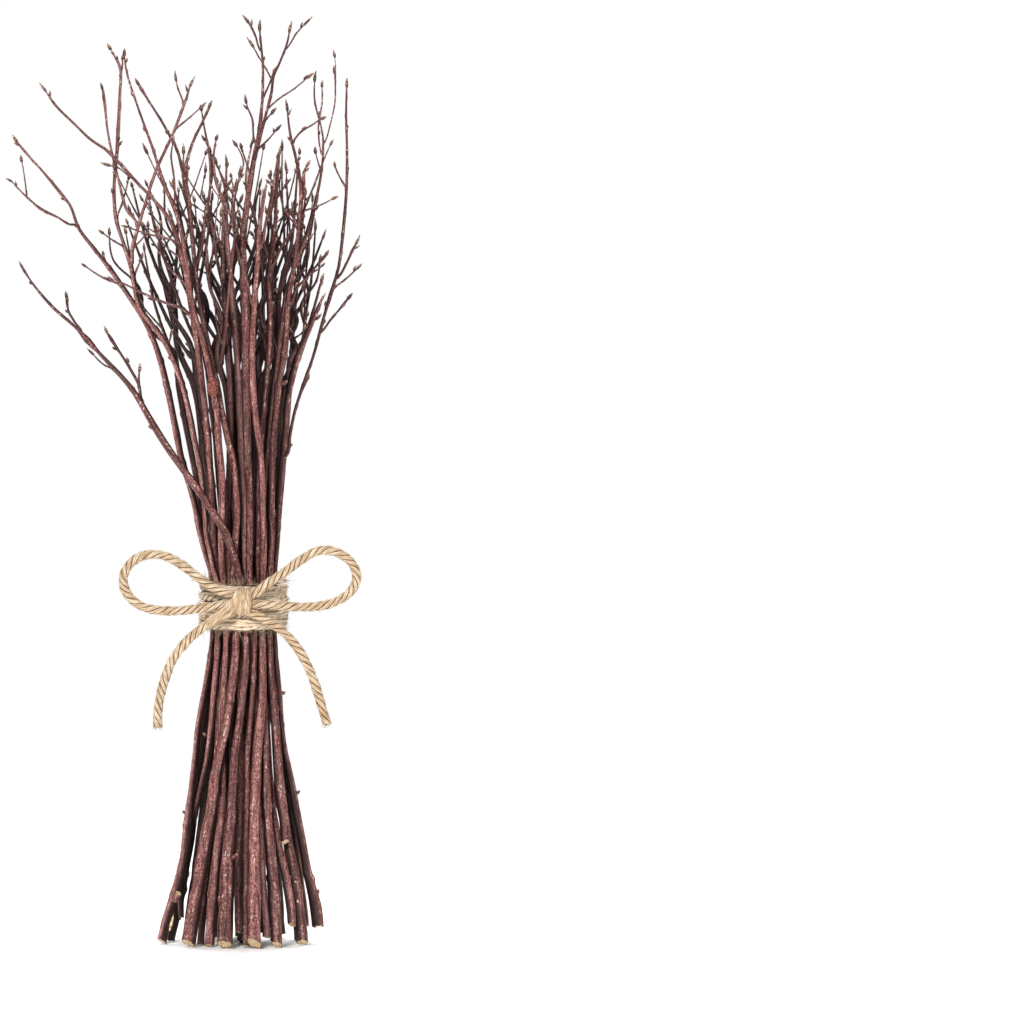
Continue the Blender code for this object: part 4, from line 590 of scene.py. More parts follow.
# Twigs seen from the front. Each has its depth (height, y) keys, its route up the stem (x, height, width),
# then its side branches: depth gained by the tip, and the route (x, height, width) from the fork.
frontTwigs = [
    dict(
        foot=1, rest=True, cut=(0.35, 0.3), depth=((0, -5), (156, -3), (256, -9), (380, -24)),
        route=((-36.5, 1, 4.6), (-33, 12, 4.6), (-30, 21, 4.9), (-28, 28, 4.6), (-26.2, 36, 4.5),
               (-25, 45, 4.2), (-24, 57, 4.6), (-22.8, 66, 3.4), (-20.8, 85, 2.9), (-20, 95, 2.8),
               (-17, 112, 2.7), (-13.8, 130, 2.6), (-12.6, 143, 2.6), (-13.4, 152, 2.7), (-15.3, 168, 2.8),
               (-17.3, 180, 3.0), (-21, 200, 3.0), (-23.3, 208, 3.0), (-27.2, 221, 3.0), (-30, 236, 2.9),
               (-34, 256, 2.8), (-38.5, 272, 2.6), (-42, 281, 2.4), (-50, 294.5, 2.1), (-58.5, 307, 2.2),
               (-66.5, 317.5, 1.7), (-74, 327.5, 1.6), (-78.5, 339, 1.2), (-82, 343.5, 1.6),
               (-91, 354.5, 1.0), (-99, 363.5, 1.2), (-105, 371, 0.6)),
        sides=((-6, ((-74, 327.5, 1.3), (-78, 329.5, 1.2), (-84, 333, 1.1), (-91, 336.5, 1.6),
                     (-97, 341.5, 0.9), (-107.5, 352.5, 0.6))),
               (3, ((-62, 312, 1.1), (-63, 315.5, 1.0), (-64.5, 318, 0.6)))),
    ),
    dict(
        foot=8, rest=False, cut=(0.1, 0.2),
        depth=((0, 7), (60, 1), (100, -8), (156, -9), (256, -17), (400, -30)),
        route=((-28.7, 5, 2.8), (-28.5, 15, 3.0), (-27.5, 25, 3.0), (-26, 35, 3.0), (-24, 45, 3.0),
               (-22.3, 52, 3.0), (-20.5, 60, 2.6), (-17, 75, 2.4), (-15, 83, 2.6), (-13.6, 92, 3.4),
               (-12.5, 102, 3.0), (-11.5, 115, 3.0), (-10.5, 130, 3.0), (-10.5, 145, 3.0), (-12, 158, 3.0),
               (-14.3, 170, 2.6), (-15.6, 185, 2.4), (-16.5, 200, 2.3), (-17.8, 214, 2.3), (-20.3, 227, 2.4),
               (-22.5, 238, 2.6), (-25, 250, 2.8), (-31, 268, 2.5), (-35, 276, 2.4), (-41, 284, 2.3),
               (-46, 291, 2.2), (-48.3, 300, 2.1), (-50, 310, 2.2), (-53.5, 321, 1.7), (-56.8, 332, 1.7),
               (-57.8, 345, 1.5), (-56.5, 362, 1.4), (-55.7, 375, 1.6), (-55, 390, 1.3), (-55.2, 403, 1.3),
               (-57.5, 407.5, 1.0), (-61, 413.5, 0.7)),
        sides=((-10, ((-50.2, 311, 1.8), (-49.6, 318, 1.8), (-47.5, 326, 1.6), (-44, 338, 1.4),
                      (-38, 356, 1.5), (-31.5, 370, 1.3), (-24.6, 388, 1.2), (-21.3, 399, 0.6))),
               (-6, ((-47, 328.5, 1.4), (-52, 337, 1.4), (-55.3, 349, 1.3), (-60.6, 373, 1.0),
                     (-62.5, 390, 1.5), (-63.8, 396, 0.6))),
               (3, ((-26, 385, 0.9), (-28.5, 393, 0.8), (-30, 400.5, 0.5))),
               (4, ((-55, 398, 0.9), (-53.8, 405, 0.8), (-54.5, 409, 0.5)))),
    ),
    dict(
        foot=0, rest=True, cut=(0.0, 0.25), depth=((0, -22), (156, -12.3), (256, -26), (413, -48)),
        route=((-14.5, -1, 4.6), (-13.5, 10, 4.6), (-12.8, 20, 4.4), (-12, 30, 4.2), (-10.8, 40, 4.0),
               (-9.5, 50, 4.0), (-8.5, 60, 3.8), (-8, 75, 3.4), (-8.3, 90, 3.2), (-8.3, 105, 3.2),
               (-7.3, 120, 3.0), (-6.7, 135, 3.0), (-7, 150, 3.0), (-8.6, 165, 3.0), (-9.2, 175, 3.0),
               (-9, 185, 3.2), (-8.3, 200, 3.3), (-8.5, 215, 3.3), (-9.8, 228, 3.2), (-10.5, 240, 3.1),
               (-12, 252, 3.0), (-16, 272, 2.6), (-21.5, 292, 2.3), (-24.5, 312, 2.1), (-28, 332, 1.9),
               (-34.5, 349, 1.6), (-40, 366, 1.3), (-47, 386, 1.0), (-52, 403, 0.9), (-53, 413, 0.5)),
        sides=((-8, ((-26, 320, 1.1), (-33, 324, 1.0), (-41, 326, 0.9), (-50, 329, 0.8), (-55, 331, 0.5))),
               (6, ((-30, 338, 0.9), (-30, 350, 0.9), (-31.5, 362, 0.8), (-30, 372, 0.5)))),
    ),
    dict(
        foot=0, rest=True, cut=(0.35, 0.4), depth=((0, -25), (156, -14), (256, -18), (387, -10)),
        route=((-24, 0, 6.2), (-22, 12, 6.2), (-19.5, 25, 5.9), (-17.5, 37, 5.7), (-15.7, 48, 5.5),
               (-13.7, 58, 5.3), (-12.4, 68, 4.9), (-11.3, 78, 4.6), (-9, 88, 4.6), (-7.3, 95, 4.4),
               (-5.8, 103, 4.4), (-4.6, 112, 4.2), (-3.2, 120, 4.0), (-2.4, 128, 3.8), (-1.9, 138, 3.6),
               (-2, 150, 3.4), (-2.6, 165, 3.3), (-2.3, 180, 3.2), (-1.5, 195, 3.2), (-1.8, 208, 3.3),
               (-3, 220, 3.3), (-5.5, 230, 3.2), (-8, 241, 3.1), (-10, 252, 3.0), (-16.5, 282, 2.7),
               (-20, 302, 2.4), (-22, 322, 2.2), (-24, 342, 2.0), (-25.5, 352, 1.9), (-22.5, 365, 1.4),
               (-17, 377, 1.1), (-14.3, 383, 1.7), (-12.8, 387, 0.6)),
        sides=((-9, ((-25.2, 350, 1.6), (-28.5, 362, 1.4), (-35, 375, 1.2), (-43, 388, 1.1),
                     (-46, 393, 2.0), (-48.7, 397.5, 0.6))),
               (8, ((-21, 310, 1.5), (-17, 328, 1.3), (-14, 345, 1.2), (-14.5, 362, 1.0), (-16.5, 372, 0.9),
                    (-18.5, 383.5, 0.6)))),
    ),
    dict(
        foot=0, rest=True, cut=(0.1, 0.42),
        depth=((0, -32), (156, -14.2), (180, -19), (212, -27), (256, -34), (314, -42)),
        route=((-7.2, 0, 7.2), (-7, 12, 6.8), (-6.5, 25, 6.2), (-6, 37, 6.0), (-5.3, 47, 5.8),
               (-4.2, 58, 5.0), (-3.5, 70, 4.2), (-2.8, 82, 3.8), (-1.8, 92, 3.6), (-0.5, 100, 3.5),
               (0.7, 110, 3.4), (1.8, 120, 3.4), (2.8, 130, 3.4), (3, 140, 3.4), (2, 152, 3.4),
               (-0.5, 162, 3.4), (-2.5, 172, 3.4), (-4, 180, 3.4), (-7, 188.5, 3.5), (-11, 196, 3.5),
               (-15.5, 203, 3.4), (-19.5, 209, 3.3), (-24, 214.5, 3.2), (-27.5, 219.5, 3.2),
               (-31.5, 225, 3.2), (-35.5, 231, 3.3), (-39.5, 238, 3.2), (-43.5, 244.5, 2.8),
               (-47.5, 252, 2.4), (-53, 259, 2.0), (-65, 272, 1.8), (-70, 277.5, 3.0), (-74.5, 282.5, 1.2),
               (-86, 293, 1.5), (-96.5, 306, 0.9), (-99, 310, 1.6), (-101, 314, 0.6)),
        sides=((4, ((-72.5, 280.5, 1.2), (-76, 286, 1.1), (-78.7, 291, 0.9), (-79.4, 296, 1.5),
                    (-79.5, 300.5, 0.6))),
               (5, ((-45, 247, 1.5), (-46.3, 256, 1.4), (-50, 263, 1.2), (-55, 271, 1.1), (-59, 277, 1.6),
                    (-63, 283.5, 0.7))),
               (-3, ((-46.6, 256.5, 1.0), (-46.3, 262, 0.9), (-45.3, 267.5, 0.5)))),
    ),
    dict(
        foot=1, rest=True, cut=(0.2, 0.2), depth=((0, -25), (156, -11.5), (256, -23), (424, -18)),
        route=((2.3, 0, 3.0), (2.3, 20, 3.0), (2.5, 40, 3.0), (2.8, 60, 3.2), (3, 78, 3.2), (3.4, 90, 3.2),
               (4.5, 100, 3.2), (5.5, 110, 3.0), (6, 120, 3.0), (6.2, 130, 3.0), (5.9, 145, 3.1),
               (4.8, 158, 3.2), (3.7, 170, 3.3), (4.2, 185, 3.4), (4.3, 200, 3.3), (3.8, 215, 3.4),
               (3.3, 230, 3.6), (3, 245, 3.8), (2.8, 256, 4.0), (2.5, 272, 4.2), (2.2, 290, 4.2),
               (1.5, 308, 3.6), (1.2, 322, 3.2), (3.3, 340, 2.8), (6.2, 359, 2.2), (8.5, 371, 1.8),
               (10.2, 388, 1.3), (10.4, 402, 1.1), (9.3, 415, 1.0), (8.5, 424, 0.6)),
        sides=((-12, ((6.2, 359, 1.5), (9.5, 371, 1.4), (12, 381, 1.3), (14.5, 391, 1.3), (15.3, 397.5, 1.2),
                      (18.5, 405, 0.9), (21.7, 413.5, 0.9), (23.5, 424, 0.6))),
               (4, ((15, 395, 0.9), (11.5, 402, 0.8), (8.5, 407, 0.7), (3.5, 416, 0.5))),
               (5, ((9.9, 409, 1.0), (7, 416, 0.9), (3.6, 422.5, 1.5), (0.8, 426, 0.5))),
               (7, ((7.5, 366, 1.0), (5.5, 378, 0.9), (3.2, 383.5, 0.8), (1.8, 389.5, 0.6))),
               (-6, ((12.6, 383, 0.9), (17, 387, 0.8), (25, 392.5, 0.7), (34.5, 400.5, 0.5))),
               (-5, ((20.5, 410, 0.8), (26, 418, 0.7), (33.5, 426, 0.5)))),
    ),
    dict(
        foot=0, rest=True, cut=(0.42, 0.5), depth=((0, -33), (156, -10.8), (256, -31), (350, -42)),
        route=((6.2, -2, 7.0), (6, 10, 6.6), (5.8, 20, 6.2), (6, 30, 5.8), (6, 45, 5.5), (6.3, 60, 5.2),
               (6.9, 75, 5.0), (7.6, 88, 4.8), (8.7, 100, 4.5), (9.8, 110, 4.2), (10.3, 120, 4.0),
               (10.7, 130, 3.8), (11, 142, 3.6), (11, 155, 3.4), (10.8, 170, 3.3), (10.7, 185, 3.2),
               (10.2, 200, 3.2), (10, 212, 3.0), (9.6, 222, 3.0), (8.3, 232, 3.0), (7, 242, 3.0),
               (6.2, 252, 2.9), (5.6, 265, 2.8), (5.8, 280, 2.6), (6.7, 295, 2.4), (7.8, 310, 2.4),
               (8.8, 325, 2.0), (10.2, 338, 1.6), (11.2, 344.5, 1.9), (12.8, 350.5, 0.7)),
        sides=((-5, ((8.5, 319, 1.3), (11.5, 330, 1.2), (15, 343, 1.1), (16.2, 353, 1.0), (17.8, 365, 0.6))),
               (6, ((6.5, 292, 1.2), (3, 305, 1.1), (-1, 318, 1.0), (-3.5, 331, 0.9), (-2, 345, 0.8),
                    (1, 357, 0.5)))),
    ),
    dict(
        foot=44, rest=False, cut=(0.0, 0.42),
        depth=((47, -21), (100, -11), (156, -5.5), (256, -18), (388, -34)),
        route=((21.3, 44, 4.0), (20.2, 53, 4.3), (18.8, 63, 4.6), (17.6, 72, 4.4), (16.8, 82, 4.2),
               (15.8, 92, 3.6), (14.8, 102, 3.3), (14, 112, 3.2), (13.8, 122, 3.1), (14, 135, 3.1),
               (14.1, 150, 3.2), (14, 170, 3.3), (14.3, 185, 3.3), (14, 200, 3.3), (14.3, 215, 3.4),
               (14.8, 228, 3.4), (16, 240, 3.3), (16.8, 251, 3.2), (20.5, 273, 3.0), (21.3, 285, 3.0),
               (22, 296, 2.8), (24, 307, 2.5), (26, 320, 2.2), (27.5, 334, 2.0), (28, 345, 1.8),
               (26, 359, 1.3), (23.2, 371, 1.2), (22, 380, 0.8), (21.5, 388, 0.6)),
        sides=((-4, ((27.9, 341, 1.5), (29.3, 353.5, 1.5), (32.5, 361, 0.7))),
               (-9, ((21.8, 292, 1.4), (25.5, 300, 1.3), (29, 303.8, 1.3), (35, 311, 1.1), (39, 315.7, 1.9),
                     (41.5, 318.7, 0.7))),
               (-5, ((24.2, 367, 1.0), (28, 372.8, 0.9), (33, 376, 0.8), (40.5, 381, 0.5))),
               (6, ((26.8, 327, 1.0), (20.5, 336, 0.9), (18, 348, 0.7), (19.5, 358, 0.5)))),
    ),
    dict(
        foot=4, rest=False, cut=(0.02, 0.14), depth=((0, -3), (156, -1), (256, -6), (299, -12)),
        route=((36.5, 4.5, 5.8), (34.7, 12, 5.6), (33, 20, 5.4), (30.5, 30, 4.8), (28.8, 40, 4.2),
               (27, 50, 4.0), (25, 60, 3.8), (24, 66, 4.2), (22, 77, 3.2), (19.7, 86, 3.0), (18.7, 95, 2.8),
               (17.8, 105, 3.2), (17.4, 112, 3.6), (16.8, 120, 3.0), (16, 130, 2.8), (15.3, 143, 2.8),
               (15.2, 158, 2.9), (15.5, 170, 3.0), (15.8, 185, 3.1), (17, 200, 3.2), (18.5, 212, 3.4),
               (20, 225, 3.4), (20.4, 237, 2.8), (21.4, 249, 2.8), (26, 267, 2.9), (29.5, 276, 2.4),
               (36, 291.5, 1.7), (39, 298.8, 1.2)),
        sides=((-9, ((20.2, 221, 1.7), (22.5, 231, 1.6), (24.7, 242, 1.6), (27.7, 252, 1.6),
                     (33.3, 268, 1.5), (38.5, 287, 1.6), (41.8, 298, 1.9), (45, 309, 1.5), (47, 324, 1.6),
                     (48.7, 345, 1.4), (49, 362, 1.2), (48.6, 380, 1.1), (49, 398, 0.6))),
               (-5, ((36.5, 279, 1.2), (41, 284.7, 1.1), (45, 289.5, 0.9), (50, 295.8, 1.5),
                     (52.7, 299, 0.8))),
               (-5, ((43.7, 304, 1.3), (48.7, 311.3, 1.1), (53.4, 320.8, 1.2), (56.3, 324, 0.9))),
               (4, ((25, 264, 1.1), (28.4, 277, 1.0), (29.3, 286, 0.9), (29.4, 296, 0.8),
                    (28.6, 303.5, 0.6)))),
    ),
    dict(
        foot=0, rest=True, cut=(0.25, 0.42), depth=((0, -27), (66, -17), (156, -6), (256, -14), (366, -26)),
        route=((16.7, -1, 5.4), (16.3, 10, 5.2), (15.5, 25, 5.0), (14, 40, 4.7), (12.5, 52, 4.4),
               (11.4, 65, 4.0), (10.9, 78, 3.8), (10.8, 90, 3.5), (10.3, 105, 3.4), (9.5, 120, 3.4),
               (9, 140, 3.4), (8.6, 155, 3.4), (8, 175, 3.3), (7.8, 190, 3.2), (8.2, 210, 3.1),
               (9.5, 235, 3.0), (11, 250, 2.9), (12.5, 265, 2.8), (13.5, 280, 2.6), (13.3, 295, 2.5),
               (12.8, 306, 2.3), (14.5, 318, 1.8), (16, 330, 1.6), (16.8, 345, 1.4), (18.4, 366.5, 0.8)),
        sides=((-7, ((13.2, 309, 1.4), (18.5, 318.5, 1.3), (23.5, 326.5, 1.2), (29, 336, 1.1),
                     (34, 348, 1.0), (39, 361, 0.8), (43, 370, 0.5))),),
    ),
    dict(
        foot=0, rest=True, cut=(0.02, 0.4), depth=((0, -14), (156, -1.2), (256, -3), (358, 10)),
        route=((28.2, -1, 5.8), (27, 10, 5.6), (25.5, 22, 5.4), (24, 32, 5.0), (22, 42, 4.6), (20.3, 52, 4.2),
               (19, 62, 4.0), (18, 72, 4.0), (16.8, 85, 3.6), (15, 105, 3.4), (13, 125, 3.4),
               (12.3, 145, 3.3), (12.3, 165, 3.2), (12.5, 190, 3.1), (13, 215, 3.0), (15, 240, 2.8),
               (17, 256, 2.7), (18, 270, 2.5), (17.3, 285, 2.3), (17.8, 298, 2.1), (19.8, 307, 1.9),
               (23, 318, 1.6), (24.5, 330, 1.2), (25.5, 345, 1.1), (26.5, 358, 0.7)),
        sides=((6, ((18, 271, 1.3), (14.5, 284, 1.2), (12, 298, 1.1), (11.5, 314, 1.0), (8.5, 330, 0.9),
                    (9, 345, 0.5))),),
    ),
    dict(
        foot=6, rest=False, cut=(0.3, 0.3), depth=((0, -21), (66, -13), (156, 3), (256, -8), (399, -14)),
        route=((24.8, 5, 4.2), (23.2, 15, 4.2), (21, 27, 4.0), (19.5, 35, 3.8), (17.8, 42, 3.6),
               (16, 52, 3.5), (14.5, 62, 3.4), (13.5, 72, 3.3), (12.8, 82, 3.2), (12, 100, 3.2),
               (11.5, 125, 3.2), (11, 150, 3.2), (10.8, 175, 3.0), (12, 210, 2.9), (14, 240, 2.8),
               (15.5, 256, 2.7), (18.5, 280, 2.4), (22.5, 303, 1.9), (26, 312.5, 1.7), (29.5, 322, 1.6),
               (33, 334, 1.4), (37.3, 354, 1.2), (38, 368, 1.0), (34, 388, 0.8), (34.3, 399.5, 0.5)),
        sides=((7, ((37.8, 361, 0.9), (35.8, 374, 0.8), (37.5, 385, 0.7), (37.3, 396, 0.5))),
               (-6, ((38, 366, 0.8), (41, 374, 0.7), (43.5, 386, 0.7), (43, 404, 0.5)))),
    ),
    dict(
        foot=1, rest=True, cut=(0.0, 0.2), depth=((0, -15), (156, -4.6), (190, -11), (256, -19), (397, -42)),
        route=((-18.5, 0, 3.4), (-17.5, 10, 3.4), (-16.5, 18, 3.4), (-15, 30, 3.2), (-13.5, 45, 3.2),
               (-12, 60, 3.2), (-11, 80, 3.2), (-10.5, 100, 3.2), (-10, 125, 3.1), (-9.7, 150, 3.1),
               (-11.6, 170, 3.2), (-12.7, 185, 3.3), (-13, 200, 3.3), (-13.5, 212, 3.3), (-14.5, 225, 3.2),
               (-15.2, 235, 3.1), (-16.3, 246, 3.0), (-19, 268, 2.8), (-20.5, 280, 2.6), (-23, 295, 2.4),
               (-25.5, 310, 2.2), (-29, 324, 2.0), (-33, 333.5, 1.7), (-38.5, 340.5, 1.5), (-47, 349.5, 1.4),
               (-56, 359.5, 1.5), (-61, 364.5, 1.5), (-68, 369.3, 1.2), (-76, 377, 1.0), (-84, 385, 1.1),
               (-91.7, 396.5, 0.6)),
        sides=((-9, ((-21.5, 287, 1.4), (-27, 291.5, 1.3), (-33, 293.5, 1.2), (-39, 296, 1.1),
                     (-45, 298.7, 1.0), (-55, 303.7, 0.9), (-61, 305.4, 1.3), (-65, 307.3, 0.7))),
               (6, ((-24, 301, 1.2), (-31, 308, 1.1), (-36.5, 318, 1.0), (-38, 330, 0.5))),
               (4, ((-49, 351.5, 0.8), (-56, 356.5, 0.7), (-65, 357.5, 0.5)))),
    ),
    dict(
        foot=1, rest=False, cut=(0.1, 0.2), depth=((0, -23), (156, -8), (256, -8), (371, -12)),
        route=((12.3, 0, 3.8), (10.8, 15, 3.8), (9.8, 30, 3.7), (9.3, 45, 3.6), (9, 60, 3.5), (8.8, 75, 3.4),
               (8.7, 90, 3.4), (7, 110, 3.4), (5, 130, 3.4), (4, 150, 3.4), (2.5, 170, 3.3), (1.8, 190, 3.2),
               (0.5, 215, 3.1), (-0.5, 240, 3.0), (-1, 256, 3.0), (-2, 272, 2.8), (-3.5, 290, 2.6),
               (-4.5, 305, 2.4), (-6, 320, 2.1), (-7.5, 338, 1.8), (-11.5, 350, 1.3), (-12.3, 360, 1.1),
               (-10.5, 371.5, 0.8)),
        sides=((-7, ((-5.5, 314, 1.2), (-2, 326, 1.1), (-3.3, 337, 1.0), (-1, 348, 0.8), (1.5, 358, 0.7),
                     (-3.5, 369, 0.5))),),
    ),
    dict(
        foot=3, rest=False, cut=(0.3, 0.2), depth=((0, -20), (156, -9), (256, -7), (361, 2)),
        route=((-1, 1, 3.2), (-1.5, 20, 3.2), (-1, 40, 3.0), (0, 60, 3.0), (0.3, 80, 3.0), (0, 100, 3.0),
               (-0.5, 125, 3.0), (-2.5, 150, 3.0), (-5.5, 170, 3.0), (-6.5, 190, 2.9), (-5.5, 210, 2.8),
               (-4.5, 230, 2.8), (-5, 256, 2.7), (-6, 270, 2.6), (-7.5, 290, 2.3), (-8.3, 310, 2.0),
               (-7.7, 335, 1.5), (-6.7, 350, 1.2), (-6.3, 361, 0.7)),
        sides=((5, ((-8.3, 306, 1.3), (-12, 322, 1.2), (-15, 338, 1.1), (-13, 352, 1.0),
                    (-14.5, 366, 0.5))),),
    ),
]

# Twigs behind and inside. Each follows a front stem below the tie, mirrored to the back: its place at the
# tie as (ring radius, angle), the front stem followed, the share of its spread, the depth of the foot, the
# widths at foot and tie, and the crown's end as (x, y, height).
backTwigs = [
    (0.0, 0, 14, 0.0, 0.0, 3.8, 3.6, (-3, 14, 352)),
    (4.7, 20, 10, 0.30, 6, 4.2, 3.8, (14, 26, 346)),
    (4.7, 80, 5, 0.60, 12, 4.4, 3.9, (5, 40, 372)),
    (4.7, 140, 14, 1.00, 10, 4.0, 3.7, (-16, 36, 340)),
    (4.7, 200, 2, 0.35, -2, 4.0, 3.6, (-36, 10, 352)),
    (4.7, 255, 14, 1.00, -9, 3.8, 3.4, (-20, -8, 336)),
    (4.7, 310, 5, 0.60, -9, 3.8, 3.4, (16, 2, 344)),
    (9.3, 12, 9, 0.60, 3, 4.4, 3.8, (30, 14, 330)),
    (9.3, 45, 9, 1.00, 14, 4.8, 4.0, (22, 38, 352)),
    (9.3, 75, 6, 0.90, 22, 5.0, 4.0, (10, 54, 338)),
    (9.3, 105, 4, 0.90, 22, 4.8, 4.0, (-8, 56, 360)),
    (9.3, 138, 2, 0.90, 16, 4.6, 3.9, (-30, 44, 350)),
    (9.3, 168, 3, 0.80, 9, 4.2, 3.8, (-44, 26, 346)),
    (13.6, 8, 10, 1.00, 4, 5.0, 3.4, (36, 12, 318)),
    (13.6, 30, 10, 0.90, 17, 5.4, 3.8, (32, 36, 326)),
    (13.6, 53, 9, 1.05, 27, 5.6, 4.0, (24, 56, 336)),
    (13.6, 76, 6, 1.00, 33, 6.2, 4.1, (8, 70, 350)),
    (13.6, 99, 4, 1.00, 34, 6.4, 4.1, (-10, 74, 344)),
    (13.6, 122, 2, 1.10, 29, 5.6, 4.0, (-28, 66, 366)),
    (13.6, 145, 3, 1.00, 20, 5.4, 3.8, (-46, 46, 350)),
    (13.6, 166, 0, 0.90, 8, 4.6, 3.2, (-62, 24, 330)),
]
crownLeft = -66          # the back twigs' side branches end inside these
crownRight = 38
crownTop = 408
backRestEvery = 2        # every second of them stands on the floor
backTaper = (0.82, 0.66, 0.50, 0.36, 0.20)
backForks = (0.14, 0.38, 0.64)


def placed(route):
    # A route of (x, height, width) moved to stand on the floor with the tie's axis at x = 0.
    return np.array(route, float) + (growthPlan["aside"], growthPlan["lift"], 0.0)


def keyed(keys, rows):
    # A value read from (height, value) keys at the given heights.
    table = np.array(keys, float)
    return np.interp(rows, table[:, 0], table[:, 1])


def segmentGap(start, end, starts, ends):
    # Shortest distance from one segment to each of many, by clamping both parameters in turn.
    d1 = end - start
    d2 = ends - starts
    r = start - starts
    a = d1 @ d1
    e = np.einsum("ij,ij->i", d2, d2)
    b = d2 @ d1
    c = r @ d1
    f = np.einsum("ij,ij->i", d2, r)
    denom = a * e - b * b
    s = np.where(denom > 1e-9, np.clip((b * f - c * e) / np.where(denom > 1e-9, denom, 1), 0, 1), 0.0)
    t = (b * s + f) / np.maximum(e, 1e-12)
    low = t < 0
    high = t > 1
    t = np.clip(t, 0, 1)
    s = np.where(low, np.clip(-c / a, 0, 1), s)
    s = np.where(high, np.clip((b - c) / a, 0, 1), s)
    apart = r + s[:, None] * d1 - t[:, None] * d2
    return np.linalg.norm(apart, axis=1)


def plannedStems():
    # Target x, y and radius of every stem at the shared levels, and what its crown is to do.
    plans = []
    for spec in frontTwigs:
        route = placed(spec["route"])
        x = np.interp(levels, route[:, 1], route[:, 0])
        y = keyed(spec["depth"], levels)
        radius = np.interp(levels, route[:, 1], route[:, 2]) / 2
        foot = 0.0 if spec["rest"] else spec["foot"] + growthPlan["lift"]
        plans.append(dict(x=x, y=y, radius=radius, foot=foot, spec=spec, cut=spec["cut"], hold=(0.30, 0.08)))
    for order, (ring, angle, follows, share, footY, footWidth, tieWidth, crown) in enumerate(backTwigs):
        turn = math.radians(angle)
        tieX = growthPlan["tieAxis"][0] + ring * math.cos(turn)
        tieY = growthPlan["tieAxis"][1] + ring * math.sin(turn)
        lead = plans[follows]
        leadTie = np.interp(156.0, levels, lead["x"])
        up = np.clip((levels - 156.0) / 100.0, 0, 1)
        down = np.clip((156.0 - levels) / 156.0, 0, 1)
        x = tieX + np.where(levels < 156.0, share * (lead["x"] - leadTie), 0.0)
        x = x + up ** 1.3 * 0.34 * (crown[0] - tieX)
        y = tieY + down ** 1.1 * (footY - tieY) + up ** 1.3 * 0.40 * (crown[1] - tieY)
        radius = 0.5 * (tieWidth + down * (footWidth - tieWidth) - up * 0.16 * tieWidth)
        rests = order % backRestEvery == 0
        foot = 0.0 if rests else 2.0 + 1.7 * (order % 5)
        cut = (0.0, 0.0) if rests else (0.25 * math.sin(order), 0.25 * math.cos(order))
        plans.append(dict(x=x, y=y, radius=radius, foot=foot, crown=crown, cut=cut, order=order,
                          hold=(0.10, 0.10)))
    return plans


def settle(plans):
    # Pushes the stems apart until each pair keeps its air gap at and between the shared levels.
    place = np.stack([np.stack([p["x"], p["y"]], -1) for p in plans], 1)
    target = place.copy()
    radius = np.stack([p["radius"] for p in plans], 1)
    hold = np.array([p["hold"] for p in plans])
    foot = np.array([p["foot"] for p in plans])
    here = levels[:, None] >= foot[None, :] - 34.0
    first, second = np.triu_indices(len(plans), 1)
    rise = np.diff(levels)[:, None, None]
    axis = np.array(growthPlan["tieAxis"])
    for step in range(900):
        pull = 0.5 * max(0.0, 1 - step / 520)
        place += pull * hold[None] * (target - place)
        if step < 420:
            smooth = (place[:-2] + place[2:]) / 2 - place[1:-1]
            place[1:-1] += 0.10 * smooth * (1 - step / 420)
        slope = np.diff(place, axis=0) / rise
        steep = np.sqrt(1 + (slope ** 2).sum(-1))
        need = np.maximum(radius[:-1], radius[1:]) * steep
        wanted = need[:, first] + need[:, second] + growthPlan["airGap"] * 1.25
        d0 = place[:-1, first] - place[:-1, second]
        d1 = place[1:, first] - place[1:, second]
        change = d1 - d0
        t = np.clip(-(d0 * change).sum(-1) / np.maximum((change ** 2).sum(-1), 1e-9), 0, 1)
        nearest = d0 + t[..., None] * change
        gap = np.linalg.norm(nearest, axis=-1)
        away = nearest / np.maximum(gap, 1e-6)[..., None]
        both = here[:-1, first] & here[:-1, second]
        short = np.where(both, np.clip(wanted - gap, 0, 1.5), 0.0) * 0.32
        push = np.zeros_like(place)
        for row in range(len(levels) - 1):
            low = short[row][:, None] * away[row] * (1 - t[row])[:, None]
            high = short[row][:, None] * away[row] * t[row][:, None]
            np.add.at(push[row], first, low)
            np.add.at(push[row], second, -low)
            np.add.at(push[row + 1], first, high)
            np.add.at(push[row + 1], second, -high)
        place += push
        for row in tieRows:
            out = place[row] - axis
            far = np.linalg.norm(out, axis=1)
            most = growthPlan["packRadius"] - radius[row] * 1.03
            over = far > most
            place[row][over] = axis + out[over] * (most[over] / far[over])[:, None]
    return place, radius


class Wood:
    # The limbs grown so far, kept as capsules so that no new limb runs into them.
    def __init__(self):
        self.starts = np.zeros((0, 3))
        self.ends = np.zeros((0, 3))
        self.radius = np.zeros(0)
        self.owner = np.zeros(0, int)

    def add(self, points, radii, owner):
        points = np.asarray(points)
        radii = np.asarray(radii)
        self.starts = np.vstack([self.starts, points[:-1]])
        self.ends = np.vstack([self.ends, points[1:]])
        self.radius = np.concatenate([self.radius, np.maximum(radii[:-1], radii[1:])])
        self.owner = np.concatenate([self.owner, np.full(len(points) - 1, owner)])

    def room(self, points, radii, owner, ownFrom):
        # Least air round a new limb. Its own twig counts only from segment ownFrom on.
        least = 1e9
        for i in range(len(points) - 1):
            gap = segmentGap(points[i], points[i + 1], self.starts, self.ends) - self.radius
            gap = gap - max(radii[i], radii[i + 1])
            other = self.owner != owner
            if other.any():
                least = min(least, gap[other].min())
            if i >= ownFrom and (~other).any():
                least = min(least, gap[~other].min() + growthPlan["airGap"] - 0.12)
        return least


